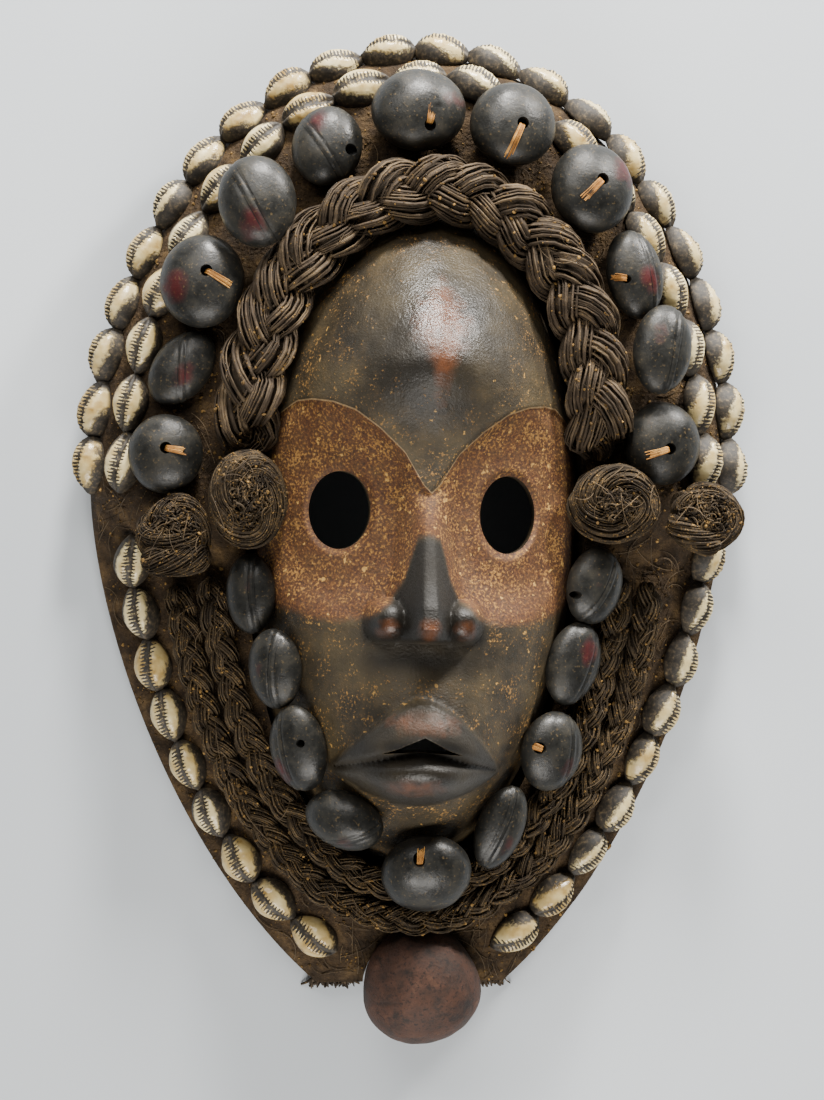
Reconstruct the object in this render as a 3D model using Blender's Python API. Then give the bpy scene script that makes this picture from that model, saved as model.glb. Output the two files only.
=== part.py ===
# Dan mask: a carved wooden face in a padded cloth collar set with nuts, cowries and plaited hair
# It lies on its back with the face up: +X is the viewer's right, +Y the crown, +Z out of the face

import math

import bmesh
import bpy
import numpy as np
from mathutils import Matrix, Vector
from mathutils.bvhtree import BVHTree

# Gap between pieces that touch, and the wider one between the wooden rim and the cloth
TOUCH_GAP = 0.0003
CLOTH_GAP = 0.0007

# Carved face: outline at the back rim, measured from the middle of the eye line
FACE_HALF_WIDTH = 0.063
FACE_RISE = 0.1235
FACE_DROP = 0.136
FACE_DEPTH = 0.084
FACE_WALL = 0.009
FACE_HOLLOW_DEPTH = 0.072
FACE_CENTRE_X = 0.0
FACE_CENTRE_Y = 0.010
FACE_TURN = math.radians(-1.7)
FACE_DOME_POWER = 2.3
FACE_FACES_KEPT = 0.09
EYE_HALF_WIDTH = 0.0108
EYE_HALF_HEIGHT = 0.0142
EYE_SPACING = 0.0615
MOUTH_SLIT_WIDTH = 0.029
MOUTH_SLIT_HEIGHT = 0.0065

# Padded cloth surround: crown above its widest line, beard below it
CLOTH_HALF_WIDTH = 0.1215
CLOTH_WIDEST_Y = 0.018
CROWN_RISE = 0.167
CROWN_LEAN = 0.003
CROWN_ROLL_WIDTH = 0.040
CROWN_THICKNESS = 0.038
BEARD_DROP = 0.205
BEARD_BELOW_FACE = 0.0425
BEARD_POWER = 1.6
BEARD_SLOPE_WIDTH = 0.070
BEARD_EDGE_THICKNESS = 0.007
BEARD_THICKNESS = 0.035
CROWN_EDGE_THICKNESS = 0.004

# Iron bell, centred on the beard's lower edge in a notch of the cloth
BELL_RADIUS = 0.0226
BELL_HEIGHT = 0.041
BELL_CENTRE_X = 0.003
BELL_CLEARANCE = 0.0008

# Brow plait: it follows the outline that this share of the face's width shows above the cloth
BRAID_RADIUS = 0.0118
BRAID_FACE_SHARE = 0.89
BRAID_OVER_FACE = 0.0025
BRAID_ENDS_ABOVE_EYES = 0.030
BRAID_LEAN = 0.003
BRAID_LOBES = 15
BRAID_SIDES = 8

# Beard plaits round the chin
PLAIT_RADIUS = 0.0058
PLAIT_SPACING = 0.0122
PLAIT_BELOW_FACE = 0.016
PLAIT_LOBES = 21
PLAIT_SIDES = 5
PLAIT_ENDS = (190, 350)
OUTER_PLAIT_INSET = 0.0315

# Cowrie shells: width and height of one, and how far neighbours run into each other
COWRIE_WIDTH = 0.0155
COWRIE_HEIGHT = 0.0085
COWRIE_OVERLAP = 0.0024

# Rows of shells: their count, their place against the cloth's outline, and where the beard's rows end
INNER_ROW_SHELLS = 19
OUTER_ROW_SHELLS = 22
BEARD_ROW_SHELLS = 9
ROW_CENTRE_X = -0.001
INNER_ROW_INSET = 0.011
OUTER_ROW_OUTSET = 0.003
BEARD_ROW_CENTRE_X = 0.0045
BEARD_ROW_BELOW_WIDEST = 0.006
BEARD_ROW_INSET = 0.012
BEARD_ROW_SHORTER = 0.030
LEFT_ROW_POWER = 1.95
RIGHT_ROW_POWER = 1.7
LEFT_ROW_ENDS = (183, 252)
RIGHT_ROW_ENDS = (356, 287)

# Nuts: typical length, the share of a nut's width that is its thickness, and the two arches they lie on
NUT_LENGTH = 0.030
NUT_THICKNESS_SHARE = 0.70
CROWN_NUT_CENTRE_X = -0.002
CROWN_NUT_ABOVE_FACE_CENTRE = 0.022
CROWN_NUT_INSET = 0.029
CROWN_NUT_SHORTER = 0.040
CROWN_NUT_LEAN = 0.004
BEARD_NUT_INSET = 0.0575
BEARD_NUT_ABOVE_RIM = 0.004
BEARD_NUT_ENDS = (193, 349)

# Each nut: step along its arch as a share of the spacing, then shift outward, width and length as
# shares of the typical length, then lean in degrees
CROWN_NUTS = (
    (0.00, -0.03, 0.93, 0.97, 0),
    (-0.06, -0.10, 0.70, 1.03, 38),
    (-0.12, 0.00, 1.03, 1.15, 4),
    (-0.10, -0.07, 0.95, 1.13, -8),
    (-0.08, -0.10, 0.87, 1.00, 8),
    (-0.02, 0.00, 1.17, 1.03, 0),
    (0.00, 0.10, 1.07, 1.07, 0),
    (0.06, 0.13, 1.05, 1.13, 0),
    (0.06, 0.07, 0.72, 1.12, -10),
    (-0.10, 0.10, 0.75, 1.12, 8),
    (-0.12, 0.03, 0.97, 1.03, 0),
)
BEARD_NUTS = (
    (0.00, 0.00, 0.63, 1.00, 0),
    (-0.10, -0.13, 0.70, 0.98, 0),
    (-0.15, -0.10, 0.75, 1.08, -5),
    (-0.15, -0.13, 1.00, 0.73, 20),
    (0.00, 0.03, 1.12, 1.05, 0),
    (0.00, 0.00, 0.63, 1.10, 15),
    (0.05, 0.07, 0.83, 1.00, 4),
    (0.05, 0.00, 0.73, 1.05, 15),
    (-0.04, 0.10, 0.75, 0.97, 10),
)

# Ear coils and outer knots: half sizes as shares of a typical one, then the step out from the face's
# side or in from the cloth's edge, and the height above the eye line's middle
KNOT_HALF_SIZE = 0.015
LEFT_COIL = ((0.92, 1.25, 0.80), 0.03, 1.00)
RIGHT_COIL = ((1.08, 1.00, 0.77), 0.60, 0.90)
LEFT_KNOT = ((0.90, 1.00, 0.67), 2.10, 0.20)
RIGHT_KNOT = ((1.00, 0.97, 0.67), 1.00, 0.60)

# A height clear of the whole mask, from which pieces are lowered on to each other
ABOVE_ALL = 2 * (FACE_DEPTH + CROWN_THICKNESS)


def smooth_step(low, high, value):
    share = np.clip((value - low) / (high - low), 0.0, 1.0)
    return share * share * (3 - 2 * share)


def bump(u, v, centre_u, centre_v, spread_u, spread_v):
    return np.exp(-((u - centre_u) / spread_u) ** 2 - ((v - centre_v) / spread_v) ** 2)


# Carving of the face, with u to the right and v upwards from the eye line.
# Its proportions are shares of the face's length: one unit is a 260th of it, 1 mm as modelled.
CARVING_UNIT = (FACE_RISE + FACE_DROP) / 260


def dome(share):
    return np.maximum(0, 1 - share ** FACE_DOME_POWER) ** (1 / FACE_DOME_POWER)


def eye_hollow(u, v, edge):
    share = ((np.abs(u) - 30) / 27) ** 2 + (v / 39) ** 2
    return smooth_step(0, edge, 1 - share)


def nose_height(u, v):
    ridge = np.interp(v, (-50, -46.5, -43, -38, -25, -10, 2, 14), (0, 2, 23, 24, 16, 9, 5, 1))
    half_width = np.interp(v, (-46, -35, -20, 0, 20), (12, 12, 9, 7, 5))
    wings = 14 * bump(np.abs(u), v, 13.5, -38, 7, 7) * smooth_step(-50, -45, v)
    return np.maximum(ridge * np.maximum(0, 1 - (u / half_width) ** 2) ** 0.6, wings)


def lip_height(u, v):
    across = np.abs(u) / 31
    lip_line = -84 - 8 * across ** 1.5
    lip_top = -67 - 25 * across ** 1.5
    lip_foot = -104.5 + 12.5 * across ** 2
    above = (v - lip_line) / np.maximum(lip_top - lip_line, 0.1)
    below = (lip_line - v) / np.maximum(lip_line - lip_foot, 0.1)
    reach = np.where(v > lip_line, above, below)
    fullness = np.sqrt(np.maximum(0, 1 - np.minimum(across, 1) ** 2))
    return 9 * fullness * np.sqrt(np.maximum(0, 1 - np.minimum(reach, 1) ** 2))


def front_relief(u, v, share):
    near_rim = smooth_step(1.0, 0.75, share)
    height = FACE_DEPTH / CARVING_UNIT * dome(share)
    height += 17 * bump(u, v, 0, 56, 36, np.where(v > 56, 34, 21)) * near_rim
    height += 18 * bump(u, v, 0, -90, 30, 26) * near_rim
    height -= 9 * eye_hollow(u, v, 0.35) * near_rim * smooth_step(3, 9, np.abs(u))
    height += nose_height(u, v)
    height += lip_height(u, v)
    return height


def hollow_relief(u, v, share):
    near_rim = smooth_step(1.0, 0.6, share)
    height = FACE_HOLLOW_DEPTH / CARVING_UNIT * dome(share)
    height += 12 * bump(u, v, 0, 56, 36, 30) * near_rim
    height += 13 * bump(u, v, 0, -90, 28, 24) * near_rim
    height -= 6 * eye_hollow(u, v, 1.0) * near_rim
    return height


def face_place(u, v):
    # From carving coordinates in metres to the mask's own frame
    turned = Matrix.Rotation(FACE_TURN, 2) @ Vector((u, v))
    return Vector((FACE_CENTRE_X + turned.x, FACE_CENTRE_Y + turned.y, 0))


def face_edge(turn, outset=0.0):
    rise = (FACE_RISE if math.sin(turn) > 0 else FACE_DROP) + outset
    return face_place((FACE_HALF_WIDTH + outset) * math.cos(turn), rise * math.sin(turn))


# Outline and thickness of the cloth surround

def beard_end():
    return face_edge(-math.pi / 2).y - BEARD_BELOW_FACE


def cloth_edge(turn):
    across, along = math.cos(turn), math.sin(turn)
    if along >= 0:
        return Vector((CLOTH_HALF_WIDTH * across + CROWN_LEAN * along, CLOTH_WIDEST_Y + CROWN_RISE * along, 0))
    power = 2 / BEARD_POWER
    x = math.copysign(CLOTH_HALF_WIDTH * abs(across) ** power, across)
    return Vector((x, max(CLOTH_WIDEST_Y - BEARD_DROP * abs(along) ** power, beard_end()), 0))


def cloth_height(turn, distance):
    crown_share = 1 - min(distance, CROWN_ROLL_WIDTH) / CROWN_ROLL_WIDTH
    crown_roll = (1 - crown_share ** 2.2) ** (1 / 2.2)
    crown = CROWN_EDGE_THICKNESS + (CROWN_THICKNESS - CROWN_EDGE_THICKNESS) * crown_roll
    beard_share = 1 - min(distance, BEARD_SLOPE_WIDTH) / BEARD_SLOPE_WIDTH
    beard = BEARD_EDGE_THICKNESS + (BEARD_THICKNESS - BEARD_EDGE_THICKNESS) * (1 - beard_share ** 1.5)
    beard_weight = float(smooth_step(0.02, -0.20, math.sin(turn)))
    return crown * (1 - beard_weight) + beard * beard_weight


def cloth_point(turn, share):
    outer, inner = cloth_edge(turn), face_edge(turn, CLOTH_GAP)
    point = outer.lerp(inner, share)
    point.z = cloth_height(turn, share * (inner - outer).length)
    return point


# Helpers for objects and materials

def clear_scene():
    for old in list(bpy.data.objects):
        bpy.data.objects.remove(old)


def new_collection(name):
    group = bpy.data.collections.new(name)
    bpy.context.scene.collection.children.link(group)
    return group


def new_material(name, colour, roughness, metallic=0.0):
    material = bpy.data.materials.new(name)
    material.use_nodes = True
    shader = material.node_tree.nodes["Principled BSDF"]
    shader.inputs["Base Color"].default_value = (*colour, 1)
    shader.inputs["Roughness"].default_value = roughness
    shader.inputs["Metallic"].default_value = metallic
    material.diffuse_color = (*colour, 1)
    return material


def object_from_bmesh(name, shape, material, group):
    mesh = bpy.data.meshes.new(name)
    shape.to_mesh(mesh)
    shape.free()
    mesh.materials.append(material)
    mesh.shade_smooth()
    piece = bpy.data.objects.new(name, mesh)
    group.objects.link(piece)
    return piece


def hide_cutter(cutter):
    cutter.hide_render = True
    cutter.display_type = "WIRE"


def add_boolean(piece, cutter, operation):
    boolean = piece.modifiers.new(operation.title(), "BOOLEAN")
    boolean.operation = operation
    boolean.solver = "EXACT"
    boolean.object = cutter
    return boolean


def prism_cutter(name, segments, half_x, half_y, turn, centre, height, group):
    shape = bmesh.new()
    bmesh.ops.create_cone(shape, cap_ends=True, segments=segments, radius1=1, radius2=1, depth=height)
    bmesh.ops.rotate(shape, verts=shape.verts, matrix=Matrix.Rotation(turn, 3, "Z"))
    bmesh.ops.scale(shape, verts=shape.verts, vec=(half_x, half_y, 1))
    mesh = bpy.data.meshes.new(name)
    shape.to_mesh(mesh)
    shape.free()
    cutter = bpy.data.objects.new(name, mesh)
    cutter.location = centre
    group.objects.link(cutter)
    hide_cutter(cutter)
    return cutter


# The ground: everything already laid, on which the next piece comes to rest

class Ground:
    def __init__(self):
        self.points = []
        self.faces = []
        self.tree = None

    def add(self, *pieces):
        bpy.context.view_layer.update()
        scene_graph = bpy.context.evaluated_depsgraph_get()
        for piece in pieces:
            evaluated = piece.evaluated_get(scene_graph)
            first = len(self.points)
            self.points += [piece.matrix_world @ vertex.co for vertex in evaluated.data.vertices]
            self.faces += [[first + index for index in face.vertices] for face in evaluated.data.polygons]
        self.tree = BVHTree.FromPolygons(self.points, self.faces)
        self.samples = spread_points(self.points, self.faces)
        return self

    def height(self, x, y):
        hit = self.tree.ray_cast(Vector((x, y, ABOVE_ALL)), Vector((0, 0, -1)))
        return hit[0].z if hit[0] else 0.0

    def slope(self, x, y, reach):
        # Mean normal of the ground within reach of a place
        total = Vector((0, 0, 0))
        for step_x in (-1, 0, 1):
            for step_y in (-1, 0, 1):
                start = Vector((x + step_x * reach, y + step_y * reach, ABOVE_ALL))
                hit = self.tree.ray_cast(start, Vector((0, 0, -1)))
                if hit[0]:
                    total += hit[1] if hit[1].z > 0 else -hit[1]
        return total.normalized() if total.length > 0 else Vector((0, 0, 1))

    def free_travel(self, points, faces, direction):
        # How far a piece may move along a direction before it touches the ground
        travel = 2 * ABOVE_ALL
        for point in spread_points(points, faces):
            hit = self.tree.ray_cast(point, direction)
            if hit[0]:
                travel = min(travel, hit[3])
        piece_tree = BVHTree.FromPolygons(points, faces)
        middle = sum(points, Vector()) / len(points)
        reach = max((point - middle).length for point in points)
        away = np.array(self.samples) - np.array(middle)
        ahead = away @ np.array(direction)
        sideways = np.linalg.norm(away - np.outer(ahead, np.array(direction)), axis=1)
        for index in np.flatnonzero((sideways < reach) & (ahead > 0)):
            hit = piece_tree.ray_cast(self.samples[index], -direction)
            if hit[0]:
                travel = min(travel, hit[3])
        return travel


def spread_points(points, faces):
    # Corners, points along the edges and the middle of each face
    spread = list(points)
    for face in faces:
        corners = [points[index] for index in face]
        spread.append(sum(corners, Vector()) / len(corners))
        for start, end in zip(corners, corners[1:] + corners[:1]):
            spread += [start.lerp(end, share) for share in (0.25, 0.5, 0.75)]
    return spread


def turned_frame(normal, heading):
    # Rotation whose Z is the normal and whose Y follows the heading, an angle in the XY plane from +Y
    along = Vector((-math.sin(heading), math.cos(heading), 0))
    across = along.cross(normal).normalized()
    along = normal.cross(across).normalized()
    return Matrix((across, along, normal)).transposed()


def settle(ground, shape, place, normal, heading, downward):
    # Lowers a tilted shape on to the ground, and returns its resting matrix
    rotation = turned_frame(normal, heading)
    start = place - downward * ABOVE_ALL
    points = [start + rotation @ vertex.co for vertex in shape.verts]
    shape.verts.index_update()
    faces = [[vertex.index for vertex in face.verts] for face in shape.faces]
    travel = ground.free_travel(points, faces, downward) - TOUCH_GAP / max(normal.z, 0.5)
    return Matrix.Translation(start + downward * travel) @ rotation.to_4x4()


# Curves on which pieces are strung

def arch(centre_x, centre_y, half_width, rise, lean=0.0, power=2.0):
    # An oval arc; a power below two makes it more pointed
    def place(turn):
        across = math.copysign(abs(math.cos(turn)) ** (2 / power), math.cos(turn))
        along = math.copysign(abs(math.sin(turn)) ** (2 / power), math.sin(turn))
        return Vector((centre_x + half_width * across + lean * max(along, 0), centre_y + rise * along, 0))
    return place


def lengths_along(curve, first_turn, last_turn, steps=400):
    turns = [first_turn + (last_turn - first_turn) * step / steps for step in range(steps + 1)]
    places = [curve(turn) for turn in turns]
    lengths = [0.0]
    for before, after in zip(places, places[1:]):
        lengths.append(lengths[-1] + (after - before).length)
    return turns, lengths


def even_turns(curve, first_turn, last_turn, shares):
    turns, lengths = lengths_along(curve, first_turn, last_turn)
    return [float(np.interp(share * lengths[-1], lengths, turns)) for share in shares]


def unit_sphere(segments, rings):
    shape = bmesh.new()
    bmesh.ops.create_uvsphere(shape, u_segments=segments, v_segments=rings, radius=1)
    return shape


# Pieces

def make_face(group, cutters, wood):
    # A sphere whose upper half becomes the front, whose lower half is folded up inside as the hollow
    rings = 96
    shape = unit_sphere(rings, rings)
    for vertex in shape.verts:
        down = math.acos(max(-1, min(1, vertex.co.z)))
        turn = math.atan2(vertex.co.y, vertex.co.x)
        outside = down < (rings + 1) / 2 * math.pi / rings
        inset = 0 if outside else FACE_WALL
        share = math.sin(down) if outside else math.sin(down - math.pi / rings)
        rise = (FACE_RISE if turn > 0 else FACE_DROP) - inset
        u = (FACE_HALF_WIDTH - inset) * share * math.cos(turn)
        v = rise * share * math.sin(turn)
        relief = front_relief if outside else hollow_relief
        height = float(relief(u / CARVING_UNIT, v / CARVING_UNIT, share)) * CARVING_UNIT
        vertex.co = face_place(u, v)
        vertex.co.z = 0 if share > 0.99999 else max(height, 0)
    face = object_from_bmesh("carved_face", shape, wood, group)
    thin = face.modifiers.new("Fewer faces", "DECIMATE")
    thin.ratio = FACE_FACES_KEPT
    cut_height = 2 * FACE_DEPTH
    for side in (-1, 1):
        centre = face_place(side * EYE_SPACING / 2, 0)
        centre.z = cut_height / 2 + TOUCH_GAP
        name = "left_eye_cutter" if side < 0 else "right_eye_cutter"
        cutter = prism_cutter(name, 18, EYE_HALF_WIDTH, EYE_HALF_HEIGHT, 0, centre, cut_height, cutters)
        add_boolean(face, cutter, "DIFFERENCE")
    triangle_half_width, triangle_height = math.sqrt(3) / 2, 1.5
    half_x = MOUTH_SLIT_WIDTH / 2 / triangle_half_width
    half_y = MOUTH_SLIT_HEIGHT / triangle_height
    centre = face_place(0, -80.5 * CARVING_UNIT - half_y)
    centre.z = cut_height / 2 + TOUCH_GAP
    add_boolean(face, prism_cutter("mouth_cutter", 3, half_x, half_y, 0, centre, cut_height, cutters),
                "DIFFERENCE")
    return face


def make_surround(group, cutters, cloth, bell_centre):
    top_shares = (0, 0.04, 0.13, 0.30, 0.58, 1)
    section = len(top_shares) + 2
    stations = 64
    bpy.ops.mesh.primitive_torus_add(major_segments=stations, minor_segments=section)
    surround = bpy.context.object
    surround.name = surround.data.name = "cloth_surround"
    for vertex in surround.data.vertices:
        station, corner = divmod(vertex.index, section)
        turn = 2 * math.pi * station / stations
        if corner < len(top_shares):
            vertex.co = cloth_point(turn, top_shares[corner])
        else:
            vertex.co = cloth_point(turn, 1 if corner == len(top_shares) else 0)
            vertex.co.z = 0
    surround.data.materials.append(cloth)
    for owner in list(surround.users_collection):
        owner.objects.unlink(surround)
    group.objects.link(surround)
    reach = BELL_RADIUS + BELL_CLEARANCE
    centre = Vector((bell_centre.x, bell_centre.y, 0))
    cutter = prism_cutter("bell_notch_cutter", 24, reach, reach, 0, centre, 4 * CROWN_THICKNESS, cutters)
    add_boolean(surround, cutter, "DIFFERENCE")
    return surround


def make_bell(group, iron, centre):
    # A forged ball, uneven round its girth, cut flat at the top edge, the front and the back
    flat_top, flat_front = 0.94, 0.97
    shape = unit_sphere(12, 8)
    for vertex in shape.verts:
        forged = 1 + 0.03 * math.cos(3 * math.atan2(vertex.co.y, vertex.co.x) + 1.0)
        vertex.co.x *= BELL_RADIUS * forged
        vertex.co.y = min(vertex.co.y * forged, flat_top) * BELL_RADIUS
        vertex.co.z = max(-flat_front, min(vertex.co.z, flat_front)) * BELL_HEIGHT / 2 / flat_front
    bell = object_from_bmesh("bell", shape, iron, group)
    bell.location = centre
    return bell


def level_out(heights):
    # Raises dips between neighbours, and lowers nothing
    level = np.array(heights)
    passes = 6
    for _ in range(passes):
        padded = np.pad(level, 1, mode="edge")
        level = np.maximum(level, (padded[:-2] + level + padded[2:]) / 3)
    return level


def make_plait(name, curve, first_turn, last_turn, radius, lobes, sides, ground, group, material):
    # A plait as a closed tube whose two flanks swell by turns, laid on the ground
    rings_a_lobe = 3
    rings = lobes * rings_a_lobe
    shares = [ring / rings for ring in range(rings + 1)]
    turns = even_turns(curve, first_turn, last_turn, shares)
    places = [curve(turn) for turn in turns]
    headings = []
    for ring in range(rings + 1):
        ahead = places[min(ring + 1, rings)] - places[max(ring - 1, 0)]
        headings.append(ahead.normalized())
    swell, end_width, slant, probes = 0.13, 0.8, 0.35, 6
    reach = radius * (1 + swell)
    heights = []
    for place, ahead in zip(places, headings):
        side = Vector((ahead.y, -ahead.x, 0))
        needed = []
        for step in range(-probes, probes + 1):
            spot = place + side * reach * step / probes
            needed.append(ground.height(spot.x, spot.y) + reach * math.sqrt(1 - (step / probes) ** 2))
        heights.append(max(needed))
    level = level_out(heights)
    shape = unit_sphere(sides, rings)
    for vertex in shape.verts:
        down = math.acos(max(-1, min(1, vertex.co.z)))
        ring = round(down / math.pi * rings)
        around = math.atan2(vertex.co.y, vertex.co.x)
        ahead = headings[ring]
        side = Vector((ahead.y, -ahead.x, 0))
        width = 0 if ring in (0, rings) else radius
        if ring in (1, rings - 1):
            width = radius * end_width
        lateral = math.cos(around)
        phase = 2 * math.pi * (ring / rings_a_lobe + (0.5 if lateral > 0 else 0) - slant * abs(lateral))
        width *= 1 + swell * math.cos(phase) * min(1, abs(lateral) * 2)
        lift = TOUCH_GAP * 2 + math.sin(around) * width
        centre = places[ring]
        vertex.co = centre + side * lateral * width + Vector((0, 0, level[ring] + lift))
    plait = object_from_bmesh(name, shape, material, group)
    ground.add(plait)
    return plait


def nut_shape(width, length):
    # A seed half with a grooved keel along its length and a flattened underside
    thickness = width * NUT_THICKNESS_SHARE
    flat_under, keel_depth = 0.55, 0.10
    shape = unit_sphere(8, 6)
    bmesh.ops.rotate(shape, verts=shape.verts, matrix=Matrix.Rotation(math.pi / 2, 3, "X"))
    for vertex in shape.verts:
        on_keel = abs(vertex.co.x) < 0.05 and vertex.co.z > 0.3
        vertex.co.z = max(vertex.co.z, -flat_under) * (1 - keel_depth if on_keel else 1)
        vertex.co = Vector((vertex.co.x * width / 2, vertex.co.y * length / 2, vertex.co.z * thickness / 2))
    return shape


def make_nuts(prefix, curve, first_turn, last_turn, nuts, ground, bed, group, material):
    spacing = 1 / (len(nuts) - 1)
    shares = [(number + nut[0]) * spacing for number, nut in enumerate(nuts)]
    turns = even_turns(curve, first_turn, last_turn, shares)
    made = []
    for number, (turn, nut) in enumerate(zip(turns, nuts), start=1):
        _, outward, width, length, lean = nut
        outside = Vector((math.cos(turn), math.sin(turn), 0))
        place = curve(turn) + outside * outward * NUT_LENGTH
        place.z = ground.height(place.x, place.y)
        shape = nut_shape(width * NUT_LENGTH, length * NUT_LENGTH)
        slope = bed.slope(place.x, place.y, length * NUT_LENGTH / 3)
        normal = slope.lerp(Vector((0, 0, 1)), 0.35).normalized()
        matrix = settle(ground, shape, place, normal, math.radians(-lean), Vector((0, 0, -1)))
        nut_piece = object_from_bmesh(f"{prefix}_{number:02d}", shape, material, group)
        nut_piece.matrix_world = matrix
        ground.add(nut_piece)
        made.append(nut_piece)
    return made


def cowrie_shape(length):
    # A shell with its slit up: two lips, a sunken slit between them and a flat back
    slit_floor, flat_back, tip_height = 0.62, 0.15, 0.3
    sides = 6
    widest = math.cos(math.pi / sides)
    shape = unit_sphere(sides, 4)
    bmesh.ops.rotate(shape, verts=shape.verts, matrix=Matrix.Rotation(math.pi / 2, 3, "X"))
    for vertex in shape.verts:
        across, along, up = vertex.co
        blunt = math.copysign(abs(along) ** 0.5, along) if abs(along) > 0.01 else 0
        in_slit = abs(across) < 0.05 and up > 0.3
        height = COWRIE_HEIGHT * (slit_floor if in_slit else 1) * max(up, -flat_back)
        if abs(along) > 0.99:
            height = COWRIE_HEIGHT * tip_height
        vertex.co = Vector((across * COWRIE_WIDTH / 2 / widest, blunt * length / 2, height))
    return shape


def make_cowries(name, places, bed, ground, group, material):
    # Shells tip to tip: every second one is in one mesh, the others in a second, then both are joined
    halves = [bmesh.new(), bmesh.new()]
    matrices = []
    for place, heading, length in places:
        shape = cowrie_shape(length)
        nearest = bed.tree.find_nearest(place)
        normal = nearest[1] if nearest[1].z > 0 else -nearest[1]
        normal = normal.lerp(bed.slope(place.x, place.y, COWRIE_WIDTH / 3), 0.4).normalized()
        matrices.append(settle(ground, shape, nearest[0], normal, heading, -normal))
        shape.free()
    level = level_out([matrix.translation.z for matrix in matrices])
    for number, (matrix, (_, _, length)) in enumerate(zip(matrices, places)):
        matrix.translation.z = level[number]
        shape = cowrie_shape(length)
        shape.transform(matrix)
        mesh = bpy.data.meshes.new("one shell")
        shape.to_mesh(mesh)
        shape.free()
        halves[number % 2].from_mesh(mesh)
        bpy.data.meshes.remove(mesh)
    chain = object_from_bmesh(name, halves[0], material, group)
    other = object_from_bmesh(name + "_other_half", halves[1], material, group)
    add_boolean(chain, other, "UNION")
    bpy.context.view_layer.update()
    joined = bpy.data.meshes.new_from_object(chain.evaluated_get(bpy.context.evaluated_depsgraph_get()))
    chain.modifiers.clear()
    chain.data = joined
    chain.data.name = name
    bpy.data.objects.remove(other)
    ground.add(chain)
    return chain


def strung(curve, first_turn, last_turn, count, low):
    # Place, heading and length of each shell laid tip to tip on a curve, at a height near the cloth's own
    _, lengths = lengths_along(curve, first_turn, last_turn)
    length = lengths[-1] / count + COWRIE_OVERLAP
    turns = even_turns(curve, first_turn, last_turn, [(number + 0.5) / count for number in range(count)])
    places = []
    for turn in turns:
        ahead = curve(turn + 0.01) - curve(turn - 0.01)
        places.append((curve(turn) + Vector((0, 0, low)), math.atan2(-ahead.x, ahead.y), length))
    return places


def make_knot(name, shares, place, twist, ground, group, material):
    # A lump whose sides swell as one turn of a coil does
    swell, turns_in = 0.07, 7
    shape = unit_sphere(10, 6)
    for vertex in shape.verts:
        turn = math.atan2(vertex.co.y, vertex.co.x)
        flat = math.hypot(vertex.co.x, vertex.co.y)
        coil = 1 + swell * math.cos(2 * turn + twist * turns_in * flat)
        vertex.co = Vector([value * share * KNOT_HALF_SIZE * coil for value, share in zip(vertex.co, shares)])
    place.z = ground.height(place.x, place.y)
    matrix = settle(ground, shape, place, Vector((0, 0, 1)), 0, Vector((0, 0, -1)))
    knot = object_from_bmesh(name, shape, material, group)
    knot.matrix_world = matrix
    ground.add(knot)
    return knot


def centre_on_floor(pieces, cutters):
    # Puts the origin below the middle of the whole mask, on the surface that it lies on
    bpy.context.view_layer.update()
    corners = [piece.matrix_world @ Vector(corner) for piece in pieces for corner in piece.bound_box]
    low = [min(corner[axis] for corner in corners) for axis in range(3)]
    high = [max(corner[axis] for corner in corners) for axis in range(3)]
    shift = Vector((-(low[0] + high[0]) / 2, -(low[1] + high[1]) / 2, -low[2]))
    for piece in list(pieces) + list(cutters):
        piece.location += shift


def make_all_cowries(bed, ground, group, shell):
    crown_height, beard_height = CROWN_THICKNESS * 0.9, BEARD_THICKNESS * 0.45
    inner = arch(ROW_CENTRE_X, CLOTH_WIDEST_Y, CLOTH_HALF_WIDTH - INNER_ROW_INSET,
                 CROWN_RISE - INNER_ROW_INSET, CROWN_LEAN)
    outer = arch(ROW_CENTRE_X, CLOTH_WIDEST_Y, CLOTH_HALF_WIDTH + OUTER_ROW_OUTSET,
                 CROWN_RISE + OUTER_ROW_OUTSET, CROWN_LEAN)
    beard_shape = (BEARD_ROW_CENTRE_X, CLOTH_WIDEST_Y - BEARD_ROW_BELOW_WIDEST,
                   CLOTH_HALF_WIDTH - BEARD_ROW_INSET, BEARD_DROP - BEARD_ROW_SHORTER, 0)
    left = arch(*beard_shape, LEFT_ROW_POWER)
    right = arch(*beard_shape, RIGHT_ROW_POWER)
    rows = []
    for name, path, ends, count, low in (
        ("crown_cowries_inner", inner, (180, 0), INNER_ROW_SHELLS, crown_height),
        ("crown_cowries_outer", outer, (180, 0), OUTER_ROW_SHELLS, crown_height / 2),
        ("beard_cowries_left", left, LEFT_ROW_ENDS, BEARD_ROW_SHELLS, beard_height),
        ("beard_cowries_right", right, RIGHT_ROW_ENDS, BEARD_ROW_SHELLS, beard_height),
    ):
        places = strung(path, math.radians(ends[0]), math.radians(ends[1]), count, low)
        rows.append(make_cowries(name, places, bed, ground, group, shell))
    return rows


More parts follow.
